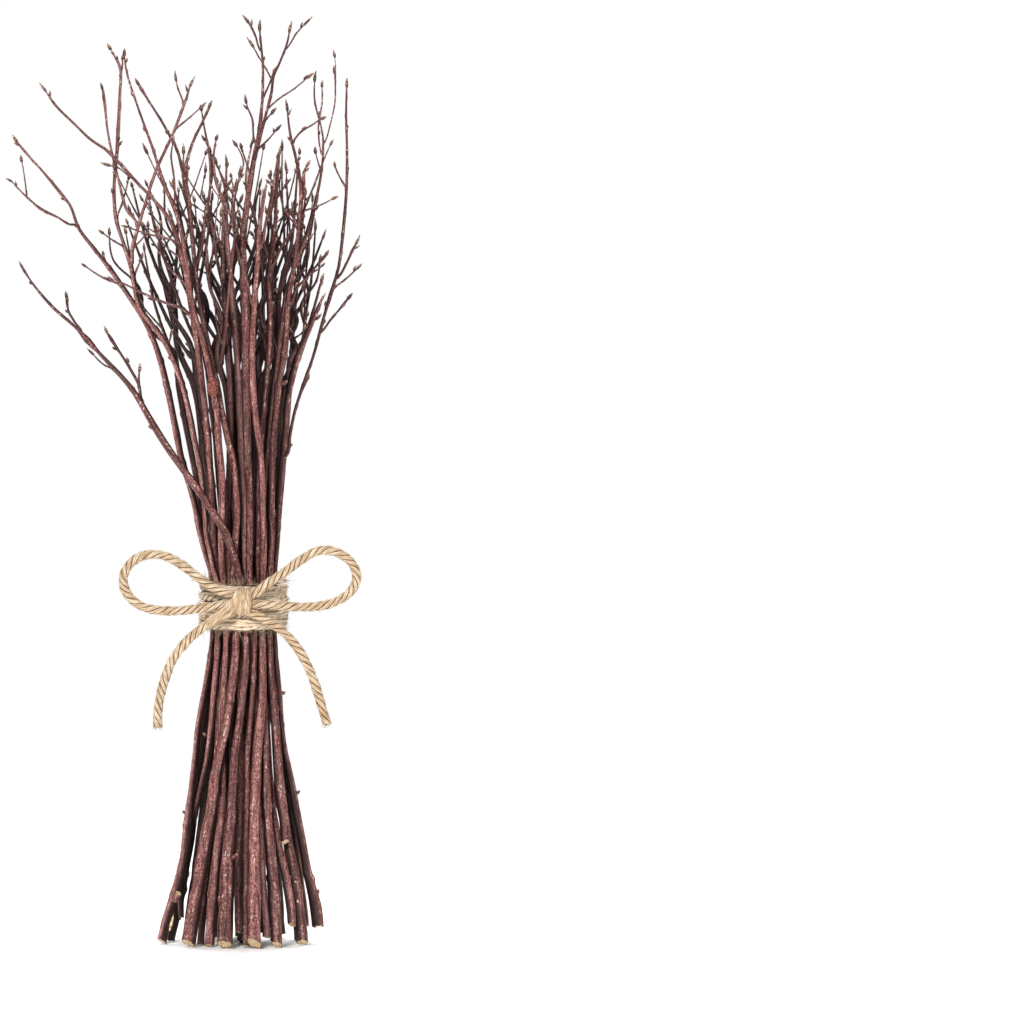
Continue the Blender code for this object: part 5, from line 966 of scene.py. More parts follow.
def bent(points, shift):
    # The route with its far end moved by shift, growing smoothly from nothing at the start.
    steps = np.linalg.norm(np.diff(points, axis=0), axis=1)
    run = np.concatenate([[0], np.cumsum(steps)]) / steps.sum()
    return points + (run ** 1.15)[:, None] * np.asarray(shift)[None]


def clearRoute(wood, points, radii, owner, ownFrom, shifts):
    # The first bent copy of the route that keeps its air gap, or else the clearest one.
    best = None
    for shift in shifts:
        trial = bent(points, shift)
        air = wood.room(trial, radii, owner, ownFrom)
        if air >= growthPlan["airGap"]:
            return trial
        if best is None or air > most:
            best, most = trial, air
    return best


depthShifts = [(0.0, side * step, 0.0) for step in range(0, 61, 3) for side in (1, -1)]
fanShifts = depthShifts + [(dx, dy, 0.0) for dy in (0, 9, -9, 18, -18, 30, -30)
                           for dx in (4, -4, 8, -8, 14, -14)]


def nearestOnLimbs(limbs, x, z):
    # The limb, segment and share along it that pass nearest to (x, z) as seen from the front.
    best = None
    for number, limb in enumerate(limbs):
        points = limb["points"]
        for i in range(len(points) - 1):
            a = points[i][[0, 2]]
            b = points[i + 1][[0, 2]]
            span = b - a
            t = float(np.clip(((x, z) - a) @ span / max(span @ span, 1e-9), 0.04, 0.96))
            miss = float(np.linalg.norm(a + t * span - (x, z)))
            if best is None or miss < best[0]:
                best = (miss, number, i, t)
    return best[1:]


def forkStart(limbs, number, i, t, toward, radius):
    # The two first points of a side branch: on its parent's axis, and just outside its bark.
    points = limbs[number]["points"]
    radii = limbs[number]["radii"]
    axis = points[i + 1] - points[i]
    axis = axis / np.linalg.norm(axis)
    at = points[i] + t * (points[i + 1] - points[i])
    thick = radii[i] + t * (radii[i + 1] - radii[i])
    out = toward - at
    out = out - (out @ axis) * axis
    reach = np.linalg.norm(out)
    if reach < 1e-6:
        out = np.array([1.0, 0, 0])
        reach = 1.0
    out = out / reach
    leave = at + out * (thick + radius * 1.05) + axis * (thick + 2.2 * radius)
    return at, leave


def growCrowns(plans, place, radius):
    # All limbs of all twigs: the stem first, then its top, then its side branches.
    random = np.random.default_rng(growthPlan["seed"])
    wood = Wood()
    twigs = []
    top = len(levels) - 1
    for index, plan in enumerate(plans):
        rows = np.nonzero(levels > plan["foot"] + 1e-6)[0]
        begin = rows[0] - 1
        share = (plan["foot"] - levels[begin]) / (levels[begin + 1] - levels[begin])
        start = place[begin, index] + share * (place[begin + 1, index] - place[begin, index])
        points = [[*start, plan["foot"]]]
        radii = [radius[begin, index] + share * (radius[begin + 1, index] - radius[begin, index])]
        for row in rows:
            points.append([*place[row, index], levels[row]])
            radii.append(radius[row, index])
        points = np.array(points)
        radii = np.array(radii)
        twigs.append(dict(plan=plan, limbs=[dict(points=points, radii=radii, parent=None, stem=len(points))]))
        wood.add(points, radii, index)
    for index, twig in enumerate(twigs):
        plan = twig["plan"]
        stem = twig["limbs"][0]
        head = stem["points"][-1]
        headRadius = stem["radii"][-1]
        if "spec" in plan:
            route = placed(plan["spec"]["route"])
            above = route[route[:, 1] > levels[top] + 6]
            y = keyed(plan["spec"]["depth"], above[:, 1])
            y0 = keyed(plan["spec"]["depth"], [levels[top]])[0]
            x0 = np.interp(levels[top], route[:, 1], route[:, 0])
            free = np.stack([above[:, 0], y, above[:, 1]], -1)
            fade = np.clip(1 - (above[:, 1] - levels[top]) / 70, 0, 1)[:, None]
            free = free + fade * np.array([[head[0] - x0, head[1] - y0, 0]])
            free[:, 1] += (1 - fade[:, 0]) * (head[1] - y0)
            freeRadii = above[:, 2] / 2
            shifts = depthShifts
        else:
            end = np.array(plan["crown"], float)
            count = len(backTaper)
            share = (np.arange(count) + 1) / count
            free = head + share[:, None] * (end - head)
            swing = 2.6 * np.array([1, -1, 1, -1, 0]) * (1 if plan["order"] % 2 else -1)
            sideways = np.cross(end - head, (0, 1, 0))
            sideways = sideways / np.linalg.norm(sideways)
            free = free + swing[:, None] * sideways
            free[:-1, :2] += random.normal(0, 1.3, (count - 1, 2))
            freeRadii = headRadius * np.array(backTaper)
            shifts = fanShifts
        points = np.vstack([head, free])
        radii = np.concatenate([[headRadius], freeRadii])
        points = clearRoute(wood, points, radii, index, 1, shifts)
        wood.add(points, radii, index)
        stem["points"] = np.vstack([stem["points"], points[1:]])
        stem["radii"] = np.concatenate([stem["radii"], radii[1:]])
    for index, twig in enumerate(twigs):
        plan = twig["plan"]
        if "spec" not in plan:
            continue
        for gain, side in plan["spec"]["sides"]:
            route = placed(side)
            number, i, t = nearestOnLimbs(twig["limbs"], route[0, 0], route[0, 1])
            radii = route[1:, 2] / 2
            toward = np.array([route[1, 0], 0, route[1, 1]])
            toward[1] = twig["limbs"][number]["points"][i][1] + 0.25 * gain
            at, leave = forkStart(twig["limbs"], number, i, t, toward, radii[0])
            share = np.arange(1, len(route)) / (len(route) - 1)
            free = np.stack([route[1:, 0], leave[1] + share * gain, route[1:, 1]], -1)
            points = np.vstack([leave, free])
            allRadii = np.concatenate([[radii[0]], radii])
            points = clearRoute(wood, points, allRadii, index, 1, depthShifts)
            wood.add(points, allRadii, index)
            allRadii = np.concatenate([[radii[0]], allRadii])
            twig["limbs"].append(dict(points=np.vstack([at, points]), radii=allRadii, parent=(number, i)))
    for index, twig in enumerate(twigs):
        plan = twig["plan"]
        if "spec" in plan:
            continue
        limbs = twig["limbs"]
        stem = limbs[0]
        base = stem["stem"] - 1
        total = len(stem["points"]) - 1 - base
        for fork, along in enumerate(backForks):
            spot = base + along * total
            i = int(spot)
            t = min(max(spot - i, 0.08), 0.92)
            parentRadius = stem["radii"][i]
            radius0 = min(max(0.62 * parentRadius, 0.42), 1.0)
            axis = stem["points"][i + 1] - stem["points"][i]
            axis = axis / np.linalg.norm(axis)
            length = random.uniform(46, 78) * (1 - 0.45 * along)
            for _ in range(24):
                turn = (fork + plan["order"]) * 2.4 + random.uniform(-0.9, 0.9)
                flat = np.array([math.cos(turn), 0.75 * math.sin(turn) + 0.2, 0])
                flat = flat - (flat @ axis) * axis
                flat = flat / np.linalg.norm(flat)
                lean = random.uniform(0.36, 0.62)
                heading = math.cos(lean) * axis + math.sin(lean) * flat
                bend = np.array([0, 0, 1.0]) - (heading @ np.array([0, 0, 1.0])) * heading
                at, leave = forkStart(limbs, 0, i, t, stem["points"][i] + t * axis + heading * 10, radius0)
                share = np.array([0.0, 0.5, 1.0])
                swing = np.array([0, 1.5, 0])[:, None] * np.cross(heading, axis)[None]
                points = leave + share[:, None] * length * heading + swing
                points = points + (share ** 2)[:, None] * length * 0.25 * bend
                tip = points[-1]
                if tip[0] < crownLeft or tip[0] > crownRight or tip[2] > crownTop:
                    continue
                radii = radius0 * np.array([1.0, 0.80, 0.46])
                if wood.room(points, radii, index, 1) < growthPlan["airGap"]:
                    continue
                wood.add(points, radii, index)
                limbs.append(dict(points=np.vstack([at, points]), parent=(0, i),
                                  radii=np.concatenate([[radius0], radii])))
                break
    return twigs, wood


barkPlan = dict(
    stemStep=1.15,       # millimetres from one ring of points to the next
    shootStep=1.0,
    stemSides=(18, 22),  # points round a back stem and a front one
    shootSides=12,
    tip=(0.95, 0.85, 0.7),     # how the last three rings of a limb narrow
    flutes=0.048,        # how far the section is from round
    wrinkles=0.032,
    lumps=0.055,
    nodeSwell=0.24,
    ragged=0.18,         # millimetres that the rim of a cut rises and falls
    faceShares=(0.12, 0.35, 0.6, 0.8, 0.90, 0.97),      # the rings of a cut face, as shares of its radius,
    faceRise=(0.16, 0.14, 0.10, 0.06, 0.02, 0.0),       # and how far each stands in, as a share of it too
    budLength=(3.4, 6.3),
    budWidth=(1.1, 1.6),
    sideBud=(1.9, 3.1),
    budShare=(0.14, 0.30),     # of the crown's nodes that show a bud, on a back and on a front twig
)


def stemLine(plan, limb):
    # A front stem also follows the small bends of its own route between the shared levels, up to 0.8 mm.
    points, radii = limb["points"], limb["radii"]
    if "spec" not in plan:
        return points, radii
    route = placed(plan["spec"]["route"])
    z = np.arange(points[0][2], levels[-1], 9.0)
    z = z[(z > points[0][2] + 4) & (z < levels[-1] - 4)]
    known, above = points[:limb["stem"]], points[limb["stem"]:]
    finer = np.stack([np.interp(z, known[:, 2], known[:, k]) for k in range(3)], -1)
    coarse = np.interp(z, levels, np.interp(levels, route[:, 1], route[:, 0]))
    finer[:, 0] += np.clip(np.interp(z, route[:, 1], route[:, 0]) - coarse, -0.8, 0.8)
    width = np.interp(z, route[:, 1], route[:, 2]) / 2
    keep = np.array([np.abs(known[:, 2] - h).min() > 3.5 for h in z])
    stem = np.vstack([known, finer[keep]])
    stemRadii = np.concatenate([radii[:limb["stem"]], width[keep]])
    order = np.argsort(stem[:, 2])
    return np.vstack([stem[order], above]), np.concatenate([stemRadii[order], radii[limb["stem"]:]])


def shortened(line, wide, run, length):
    # The line without its last stretch of this length, which the bud at its tip takes.
    keep = run < run[-1] - length
    return line[keep], wide[keep], run[keep]


# Where and how strongly the bark is painted dark as painted shade, between stems and inside the bundle.
crevicePlan = dict(
    step=3.0,            # mm between the heights that are looked at
    reach=1.45,          # mm from a neighbour within which the bark is painted dark
    inside=7.0,          # mm below the bundle's outline, facing out, at which little light arrives
    heights=(215.0, 290.0, 350.0),     # where the bundle opens and light comes in from all sides
    shut=(1.0, 0.35, 0.0),             # how much of the depth still counts at those heights
    outline=86,          # per cent of the stems that the outline takes in
    tall=440,            # mm, above every tip
    turn=10,             # degrees between the directions in which the outline is known
)
absent = 9999.0          # stands for a limb's place at a height that it doesn't reach


def crowdTable(twigs):
    # Middle and radius of every limb at even heights, and how far the stems reach in each direction.
    heights = np.arange(0, crevicePlan["tall"], crevicePlan["step"])
    rows = []
    for index, twig in enumerate(twigs):
        for limb in twig["limbs"]:
            order = np.argsort(limb["points"][:, 2])
            x, y, z = limb["points"][order].T
            at = [np.interp(heights, z, values, left=absent, right=absent) for values in (x, y)]
            rows.append((index, *at, np.interp(heights, z, limb["radii"][order])))
    owner, x, y, radii = (np.array(column) for column in zip(*rows))
    stems = np.concatenate([[True], owner[1:] != owner[:-1]])
    angle = np.radians(np.arange(0, 360, crevicePlan["turn"]))
    stemX, stemY = (np.where(x[stems] < absent, values[stems], 0)[..., None] for values in (x, y))
    reach = stemX * np.cos(angle) + stemY * np.sin(angle) + radii[stems, :, None]
    return owner, x, y, radii, np.percentile(reach, crevicePlan["outline"], axis=0)


def paintedShadeAt(corners, out, index):
    # How much painted shade the bark gets at each point:
    # 1 - exp(-(depth / inside) ^ 1.5) * product(1 - 0.9 exp(-(gap / reach) ^ 1.5)) over the limbs of other
    # twigs at the same height. Gap is how far the point lies from that limb's surface, and depth how far it
    # lies below the bundle's outline in the direction that it faces.
    owner, x, y, radii, outline = crowd
    others = owner != index
    row = np.clip(corners[..., 2].mean(1) / crevicePlan["step"], 0, x.shape[1] - 1.001)
    low, share = row.astype(int), (row % 1)[:, None]
    x, y, radii = (v[others][:, low].T * (1 - share) + v[others][:, low + 1].T * share for v in (x, y, radii))
    gap = np.hypot(corners[..., 0, None] - x[:, None], corners[..., 1, None] - y[:, None])
    gap = np.maximum(gap - radii[:, None], 0)
    near = np.exp(-(gap / crevicePlan["reach"]) ** 1.5)
    side = np.round(np.degrees(np.arctan2(out[..., 1], out[..., 0])) / crevicePlan["turn"]).astype(int)
    side = side % outline.shape[1]
    faced = np.radians(crevicePlan["turn"] * side)
    depth = outline[low[:, None], side] - corners[..., 0] * np.cos(faced) - corners[..., 1] * np.sin(faced)
    shut = np.interp(corners[..., 2], crevicePlan["heights"], crevicePlan["shut"])
    inner = (np.maximum(depth, 0) / crevicePlan["inside"]) ** 1.5 * shut
    return 1 - np.exp(-inner) * np.prod(1 - 0.9 * near, axis=-1)


def limbTube(surface, line, radii, run, sides, random, own, index, nodes, cut=None, collar=0.0, wrinkle=1.0):
    # Radius at (run s, angle a): r(s) * (1 + flutes of two and three lobes + lengthwise wrinkles cos(k a +
    # w s) + slow lumps) + a swelling exp(-((s - node) / w) ^ 2) on the bud's side of each node. A cut foot
    # closes with a slanted face, any other foot and the tip with a point.
    look = barkPlan
    mean = line[-1] - line[0]
    guide = np.eye(3)[np.argmin(np.abs(mean) + np.array([0, 0.001, 0.002]))]
    if abs(mean[2]) > 0.8 * np.linalg.norm(mean):
        guide = np.array([1.0, 0, 0])
    heading, first, second = framesAlong(line, guide)
    a = 2 * math.pi * np.arange(sides) / sides
    s = run[:, None]
    phase = random.uniform(0, 2 * math.pi, 12)
    shape = look["flutes"] * (np.cos(2 * a[None] + phase[0] + s / 90)
                              + 0.6 * np.cos(3 * a[None] + phase[1] - s / 60))
    for j, (lobes, pace) in enumerate(((5, 0.05), (7, -0.09), (9, 0.13))):
        shape = shape + wrinkle * look["wrinkles"] * np.cos(lobes * a[None] + pace * s + phase[2 + j]) * (
            0.6 + 0.4 * np.cos(s / (9 + 5 * j) + phase[6 + j]))
    stops = np.arange(0, run[-1] + 12, 6.0)
    lumps = np.interp(run, stops, random.normal(0, look["lumps"], len(stops)))
    ringNoise = random.normal(0, 0.006, (len(run), sides))
    reach = radii[:, None] * (1 + shape + lumps[:, None] + ringNoise)
    mark = np.zeros_like(reach)
    for at, side in nodes:
        thick = np.interp(at, run, radii)
        w = 0.55 + 0.42 * thick
        near = np.exp(-((s - at) / w) ** 2)
        lobe = 0.45 + 0.55 * np.cos(a[None] - side)
        reach = reach + (look["nodeSwell"] * thick + 0.10) * near * lobe
        crease = np.exp(-((s - at + 0.9 * w) / 0.35) ** 2)
        reach = reach - 0.045 * thick * crease
        mark = np.maximum(mark, crease * (0.6 + 0.4 * np.cos(a[None] - side)))
    if collar:
        swell = np.exp(-((s - collar) / (1.1 * collar + 0.4)) ** 2)
        reach = reach * (1 + 0.55 * swell * (s > 0.3 * collar))
    out = np.cos(a)[None, :, None] * first[:, None] + np.sin(a)[None, :, None] * second[:, None]
    corners = line[:, None] + reach[..., None] * out
    # Painted shade where other twigs are near and deep inside the bundle.
    shade = paintedShadeAt(corners, out, index)
    rows = len(line)
    radial = np.ones((rows, sides))
    faceRows = 0
    if cut is not None:
        slope, foot = cut
        drop = (corners[..., :2] - line[0, :2]) @ slope
        fade = np.clip(1 - (line[:, 2] - line[0, 2]) / 7.0, 0, 1)[:, None]
        lobes = np.array([3, 4, 6, 9])[:, None]
        rim = (random.normal(0, 1, 4)[:, None] * np.cos(lobes * a[None] + phase[8:12, None])).sum(0)
        corners[..., 2] += look["ragged"] * rim[None] * np.clip(1 - run / 1.6, 0, 1)[:, None]
        corners[..., 2] -= drop * fade
        low = corners[0, :, 2].min()
        corners[..., 2] += (foot - low) * fade
        shares = np.array(look["faceShares"])
        middle = corners[0].mean(0)
        rings = middle + shares[:, None, None] * (corners[0] - middle)[None]
        torn = random.normal(0, 0.05, (len(shares), sides)) * (shares < 0.95)[:, None]
        flatter = 1 if foot > 0.5 else 0.35
        rings[..., 2] += np.array(look["faceRise"])[:, None] * radii[0] * flatter + np.abs(torn)
        corners = np.concatenate([rings, corners])
        radial = np.concatenate([np.broadcast_to(shares[:, None], (len(shares), sides)), radial])
        mark = np.concatenate([np.zeros((len(shares), sides)), mark])
        shade = np.concatenate([np.zeros((len(shares), sides)), shade])
        faceRows = len(shares)
        rows += faceRows
    depth = np.concatenate([np.full(faceRows, run[0]), run])
    thick = np.concatenate([np.full(faceRows, radii[0]), radii])
    grain = np.stack([thick[:, None] * radial * np.cos(a)[None], thick[:, None] * radial * np.sin(a)[None],
                      np.broadcast_to(depth[:, None], radial.shape)], -1) + random.uniform(0, 400, 3)
    face = np.stack([radial, np.zeros_like(radial), np.broadcast_to(a[None], radial.shape)], -1)
    quads, tris = gridFaces(rows, sides)
    number = (np.arange(len(quads)) < faceRows * sides).astype(int)
    endNumber = (np.arange(len(tris)) < sides * (faceRows > 0)).astype(int)
    foot = corners[0].mean(0) if faceRows else line[0] - heading[0] * radii[0] * 0.5
    tip = line[-1] + heading[-1] * radii[-1] * 1.2
    young = np.clip((1.35 - thick) / 0.9, 0, 1)
    corners = np.vstack([corners.reshape(-1, 3), foot, tip])
    grain = np.vstack([grain.reshape(-1, 3), grain.reshape(-1, 3)[[0, -1]]])
    face = np.vstack([face.reshape(-1, 3), [0, 0, 0], [1, 0, 0]])
    youth = np.concatenate([np.repeat(young, sides), [young[0], young[-1]]])
    surface.add(corners, quads, tris, number, endNumber, grain=grain, face=face, tone=own, youth=youth,
                node=np.concatenate([mark.ravel(), [0, 0]]), crevice=np.concatenate([shade.ravel(), [0, 0]]))
    return heading, first, second


markSlots = dict(cut=1, nick=1, torn=1, bud=2, broken=3)    # the material that each thing on a twig shows


def addBuds(surface, bases, headings, lengths, widths, random, slot=markSlots["bud"], rough=0.0):
    # Pointed ovals, all made at once: radius width / 2 * sin(pi u ^ 0.72) ^ 0.8 with a small step at each
    # scale. Roughened, the same shape serves for a nick, a torn strip or a broken knot set into the bark.
    if not len(bases):
        return
    count, rows, sides = len(bases), 9, 8
    bow = 0.08 if slot == markSlots["bud"] else 0    # how far a bud's tip leans aside
    bases, headings = np.array(bases), np.array(headings)
    headings = headings / np.linalg.norm(headings, axis=1)[:, None]
    lengths, widths = np.array(lengths)[:, None], np.array(widths)[:, None]
    u = np.linspace(0.03, 0.985, rows)[None]
    reach = widths / 2 * np.sin(math.pi * u ** 0.72) ** 0.8
    reach = reach * (1 + 0.05 * np.sin(u * 17 + random.uniform(0, 6, (count, 1)))) + 0.10 * (1 - u)
    spare = random.normal(0, 1, (count, 3))
    first = spare - (spare * headings).sum(1)[:, None] * headings
    first = first / np.linalg.norm(first, axis=1)[:, None]
    second = np.cross(headings, first)
    a = 2 * math.pi * np.arange(sides) / sides
    out = (np.cos(a)[None, None, :, None] * first[:, None, None]
           + np.sin(a)[None, None, :, None] * second[:, None, None])
    flat = 1 + 0.10 * np.cos(3 * a)[None, None] * np.sin(math.pi * u)[..., None]
    sway = (u ** 2)[..., None] * lengths[..., None] * bow * spare[:, None]
    centre = bases[:, None] + (u * lengths)[..., None] * headings[:, None] + sway
    flat = flat + rough * random.normal(0, 1, (count, rows, sides))
    corners = centre[:, :, None] + (reach[..., None] * flat)[..., None] * out
    poles = np.stack([bases - 0.2 * headings, bases + lengths * (headings + bow * spare)], 1)
    whole = np.concatenate([corners.reshape(count, -1, 3), poles], 1)
    quads, tris = gridFaces(rows, sides, count)
    along = np.broadcast_to(u[0][:, None], (rows, sides)).ravel()
    face = np.zeros((count, rows * sides + 2, 3))
    face[:, :, 0] = np.concatenate([along, [0, 1]])[None]
    face[:, :, 1] = random.uniform(0, 9, (count, 1))
    surface.add(whole, quads, tris, np.full(len(quads), slot), np.full(len(tris), slot),
                grain=whole.reshape(-1, 3), face=face.reshape(-1, 3),
                tone=np.repeat(random.uniform(0, 1, count), rows * sides + 2))


# Things seen on single twigs: twig number, height, the way it faces in degrees (0 right, -90 the viewer),
# radius, length, degrees from the stem's own direction, and what it is: a cut stub, a dormant bud, a nick
# or torn strip that shows pale wood, or the reddish scar of a branch that broke away.
twigMarks = [
    (1, 22.0, -62, 1.55, 2.6, 38, "cut"),
    (1, 6.5, -20, 0.60, 8.6, 0, "torn"),
    (1, 60.0, 175, 0.9, 1.6, 60, "bud"),
    (2, 96.0, 180, 1.0, 1.5, 60, "bud"),
    (5, 42.5, -18, 0.95, 2.2, 55, "cut"),
    (9, 115.0, 0, 1.1, 1.7, 55, "bud"),
    (9, 69.0, -10, 0.9, 1.5, 60, "bud"),
    (9, 22.5, 5, 1.3, 1.9, 55, "bud"),
    (11, 28.4, -70, 0.45, 2.0, 0, "nick"),
    (11, 19.6, -75, 0.40, 1.7, 0, "nick"),
    (4, 62.0, -80, 1.2, 1.6, 70, "bud"),
    (3, 253.8, -88, 2.75, 10.6, 0, "broken"),
    (5, 240.0, 165, 1.1, 2.2, 45, "bud"),
    (8, 259.0, 0, 1.2, 2.6, 50, "bud"),
    (9, 228.5, 0, 0.9, 2.4, 45, "bud"),
    (7, 148.0, -90, 0.8, 1.2, 60, "bud"),
    (6, 118.0, -70, 0.7, 1.2, 60, "bud"),
]


def addMarks(surface, number, limb, random, own):
    # What twigMarks lists for this twig: each leaves its stem at a height, on one side.
    points, radii = limb["points"], limb["radii"]
    for twig, height, side, radius, length, lean, end in twigMarks:
        if twig != number:
            continue
        at = np.array([np.interp(height, points[:, 2], points[:, k]) for k in range(3)])
        above = np.array([np.interp(height + 4, points[:, 2], points[:, k]) for k in range(3)])
        thick = np.interp(height, points[:, 2], radii)
        axis = (above - at) / np.linalg.norm(above - at)
        turn = math.radians(side)
        out = np.array([math.cos(turn), math.sin(turn), 0])
        out = out - (out @ axis) * axis
        out = out / np.linalg.norm(out)
        slant = math.radians(lean)
        heading = math.sin(slant) * out + math.cos(slant) * axis
        start = at + out * thick * 0.3 - axis * thick * 0.5
        if end == "bud":
            addBuds(surface, [at + out * thick * 0.75], [heading], [length * 1.5], [radius * 1.7], random)
            continue
        if end != "cut":
            sunk = at + out * (thick - 0.5 * radius)
            addBuds(surface, [sunk], [axis], [length], [2 * radius], random, markSlots[end], 0.12)
            continue
        reach = thick * 0.7 + length
        route = start + np.linspace(0, 1, 5)[:, None] * heading * reach
        line, wide, _ = smoothLine(route, radius * np.array([1.5, 1.25, 1.05, 1.0, 0.97]), 0.5)
        cutStub(surface, line[::-1], wide[::-1], random, own)


def cutStub(surface, line, radii, random, own):
    # A short tube that starts at its cut face and runs back into the stem. The face is a fan of rings.
    sides = 16
    heading, first, second = framesAlong(line, np.array([0.3, 1.0, 0.2]))
    a = 2 * math.pi * np.arange(sides) / sides
    out = np.cos(a)[None, :, None] * first[:, None] + np.sin(a)[None, :, None] * second[:, None]
    corners = line[:, None] + radii[:, None, None] * (1 + 0.05 * np.cos(3 * a + 1)[None, :, None]) * out
    shares = np.array([0.15, 0.45, 0.75, 0.92])
    middle = corners[0].mean(0)
    rings = middle + shares[:, None, None] * (corners[0] - middle)[None]
    rings = rings - 0.08 * (1 - shares)[:, None, None] * heading[0]
    corners = np.concatenate([rings, corners])
    rows = len(corners)
    radial = np.repeat(np.concatenate([shares, np.ones(len(line))])[:, None], sides, 1)
    quads, tris = gridFaces(rows, sides)
    number = (np.arange(len(quads)) < len(shares) * sides).astype(int)
    endNumber = (np.arange(len(tris)) < sides).astype(int)
    whole = np.vstack([corners.reshape(-1, 3), middle - 0.08 * heading[0], line[-1] + 0.3 * heading[-1]])
    face = np.vstack([np.stack([radial, 0 * radial, 0 * radial], -1).reshape(-1, 3), [0, 0, 0], [1, 0, 0]])
    surface.add(whole, quads, tris, number, endNumber, grain=whole + random.uniform(0, 300, 3), face=face,
                tone=own, youth=0.2)


def alternateNodes(run, radii, random, start, spacing):
    # Places along a limb where buds sit, on alternate sides, further apart where the limb is thick.
    places = []
    at = start + random.uniform(2, 6)
    side = random.uniform(0, 2 * math.pi)
    while at < run[-1] - 3.0:
        thick = np.interp(at, run, radii)
        places.append((at, side))
        side += math.pi + random.normal(0, 0.35)
        at += spacing * random.uniform(0.75, 1.3) * (0.75 + 0.35 * thick)
    return places


def makeTwig(index, twig, wood):
    # One grown piece: its stem and side branches as tubes, then spurs, buds, stubs and cut faces.
    random = np.random.default_rng(1000 + index)
    plan = twig["plan"]
    surface = Surface()
    own = random.uniform(0.0, 1.0)
    front = "spec" in plan
    budBases, budHeadings, budLengths, budWidths = [], [], [], []

    def bud(base, heading, length, width):
        budBases.append(base)
        budHeadings.append(heading)
        budLengths.append(length)
        budWidths.append(width)

    def tipBud(line, heading, radii, length):
        wide = random.uniform(*barkPlan["budWidth"])
        bud(line[-1] - heading[-1] * 0.6, heading[-1], length, wide)
        if random.uniform() < 0.5:
            side = np.cross(heading[-1], random.normal(0, 1, 3))
            side = side / np.linalg.norm(side)
            at = line[-1] - heading[-1] * random.uniform(1.5, 3.5)
            bud(at + side * radii[-1] * 0.5, heading[-1] + 0.6 * side, 0.65 * length, 0.75 * wide)

    for number, limb in enumerate(twig["limbs"]):
        length = random.uniform(*barkPlan["budLength"])
        if number == 0:
            line, wide, run = smoothLine(*stemLine(plan, limb), barkPlan["stemStep"])
            line, wide, run = shortened(line, wide, run, length - 0.6)
            crownFrom = np.interp(levels[-1], line[:, 2], run)
            nodes = alternateNodes(run, wide, random, 20, 24)
            nodes = [n for n in nodes if n[0] < crownFrom] + alternateNodes(run, wide, random, crownFrom, 11)
            wide[-3:] *= barkPlan["tip"]
            heading, first, second = limbTube(
                surface, line, wide, run, barkPlan["stemSides"][front], random, own, index, nodes,
                cut=(np.array(plan["cut"]), plan["foot"]))
        else:
            line, wide, run = smoothLine(limb["points"], limb["radii"], barkPlan["shootStep"], 0.8)
            line, wide, run = shortened(line, wide, run, length - 0.6)
            parent, i = limb["parent"]
            thick = twig["limbs"][parent]["radii"][i]
            nodes = alternateNodes(run, wide, random, thick + 4, 9)
            crownFrom = 0
            wide[-3:] *= barkPlan["tip"]
            heading, first, second = limbTube(
                surface, line, wide, run, barkPlan["shootSides"], random, own, index, nodes,
                collar=thick, wrinkle=0.6)
        tipBud(line, heading, wide, length)
        for at, side in nodes:
            if at < crownFrom + 6:
                continue
            here = int(np.searchsorted(run, at))
            out = math.cos(side) * first[here] + math.sin(side) * second[here]
            axis = heading[here]
            thick = wide[here]
            spur = random.uniform() < spurPlan["share"][front] and run[-1] - at > 8
            if spur and growSpur(surface, wood, index, line[here], axis, out, thick, random, own, tipBud):
                continue
            if random.uniform() < barkPlan["budShare"][front]:
                size = random.uniform(*barkPlan["sideBud"])
                bud(line[here] + out * thick * 0.7, axis + 0.5 * out, size, size * 0.5)
    addMarks(surface, index + 1, twig["limbs"][0], random, own)
    addBuds(surface, budBases, budHeadings, budLengths, budWidths, random)
    name = f"twig_{index + 1:02d}"
    piece = surface.build(name + "_bark", [bark, cutWood, budScales, brokenWood])
    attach(piece, "root")
    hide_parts(name)
    return surface.triangles()


spurPlan = dict(
    share=(0.10, 0.24),  # of the crown's nodes that grow a short spur, on a back and on a front twig
    length=(5.0, 17.0),
    radius=0.46,
    lean=(0.55, 0.95),   # radians off the parent's direction
)


def growSpur(surface, wood, index, base, axis, out, thick, random, own, tipBud):
    # A short side twig with its own bud. It is left out where it would come near other wood.
    length = random.uniform(*spurPlan["length"])
    lean = random.uniform(*spurPlan["lean"])
    heading = math.cos(lean) * axis + math.sin(lean) * out
    share = np.array([0.0, 0.3, 0.65, 1.0])[:, None]
    kink = np.cross(heading, out + 0.01) * random.uniform(-0.09, 0.09) * length
    start = base + out * thick * 0.2
    rise = share ** 2 * length * 0.16 * np.array([0, 0, 1.0])
    points = start + share * length * heading + rise + share * (1 - share) * 4 * kink
    radius = min(spurPlan["radius"], 0.8 * thick)
    radii = radius * np.array([1.15, 1.0, 0.85, 0.7])
    clear = start + out * thick * 1.6 + share[1:] * (points[-1] - start) * 0.9
    low, high = np.array(boxAtLoad) / metre
    if (points < low).any() or (points > high).any():
        return False
    if wood.room(clear, radii[1:] + 0.3, index, 9) < 0.3:
        return False
    wood.add(points[1:], radii[1:] + 0.2, index)
    line, wide, run = smoothLine(points, radii, 0.9, 0.8)
    nodes = alternateNodes(run, wide, random, thick, 6)
    heading = limbTube(surface, line, wide, run, 8, random, own, index, nodes, collar=0.7 * thick,
                       wrinkle=0.3)[0]
    tipBud(line, heading, wide, random.uniform(*barkPlan["budLength"]) * 0.85)
    return True


plans = plannedStems()
place, radius = settle(plans)
twigs, wood = growCrowns(plans, place, radius)
print("grown:", len(twigs), "twigs,", sum(len(t["limbs"]) for t in twigs), "limbs")
crowd = crowdTable(twigs)
faceCounts = [makeTwig(index, twig, wood) for index, twig in enumerate(twigs)]
print("twigs made:", sum(faceCounts), "triangles, most in one:", max(faceCounts))


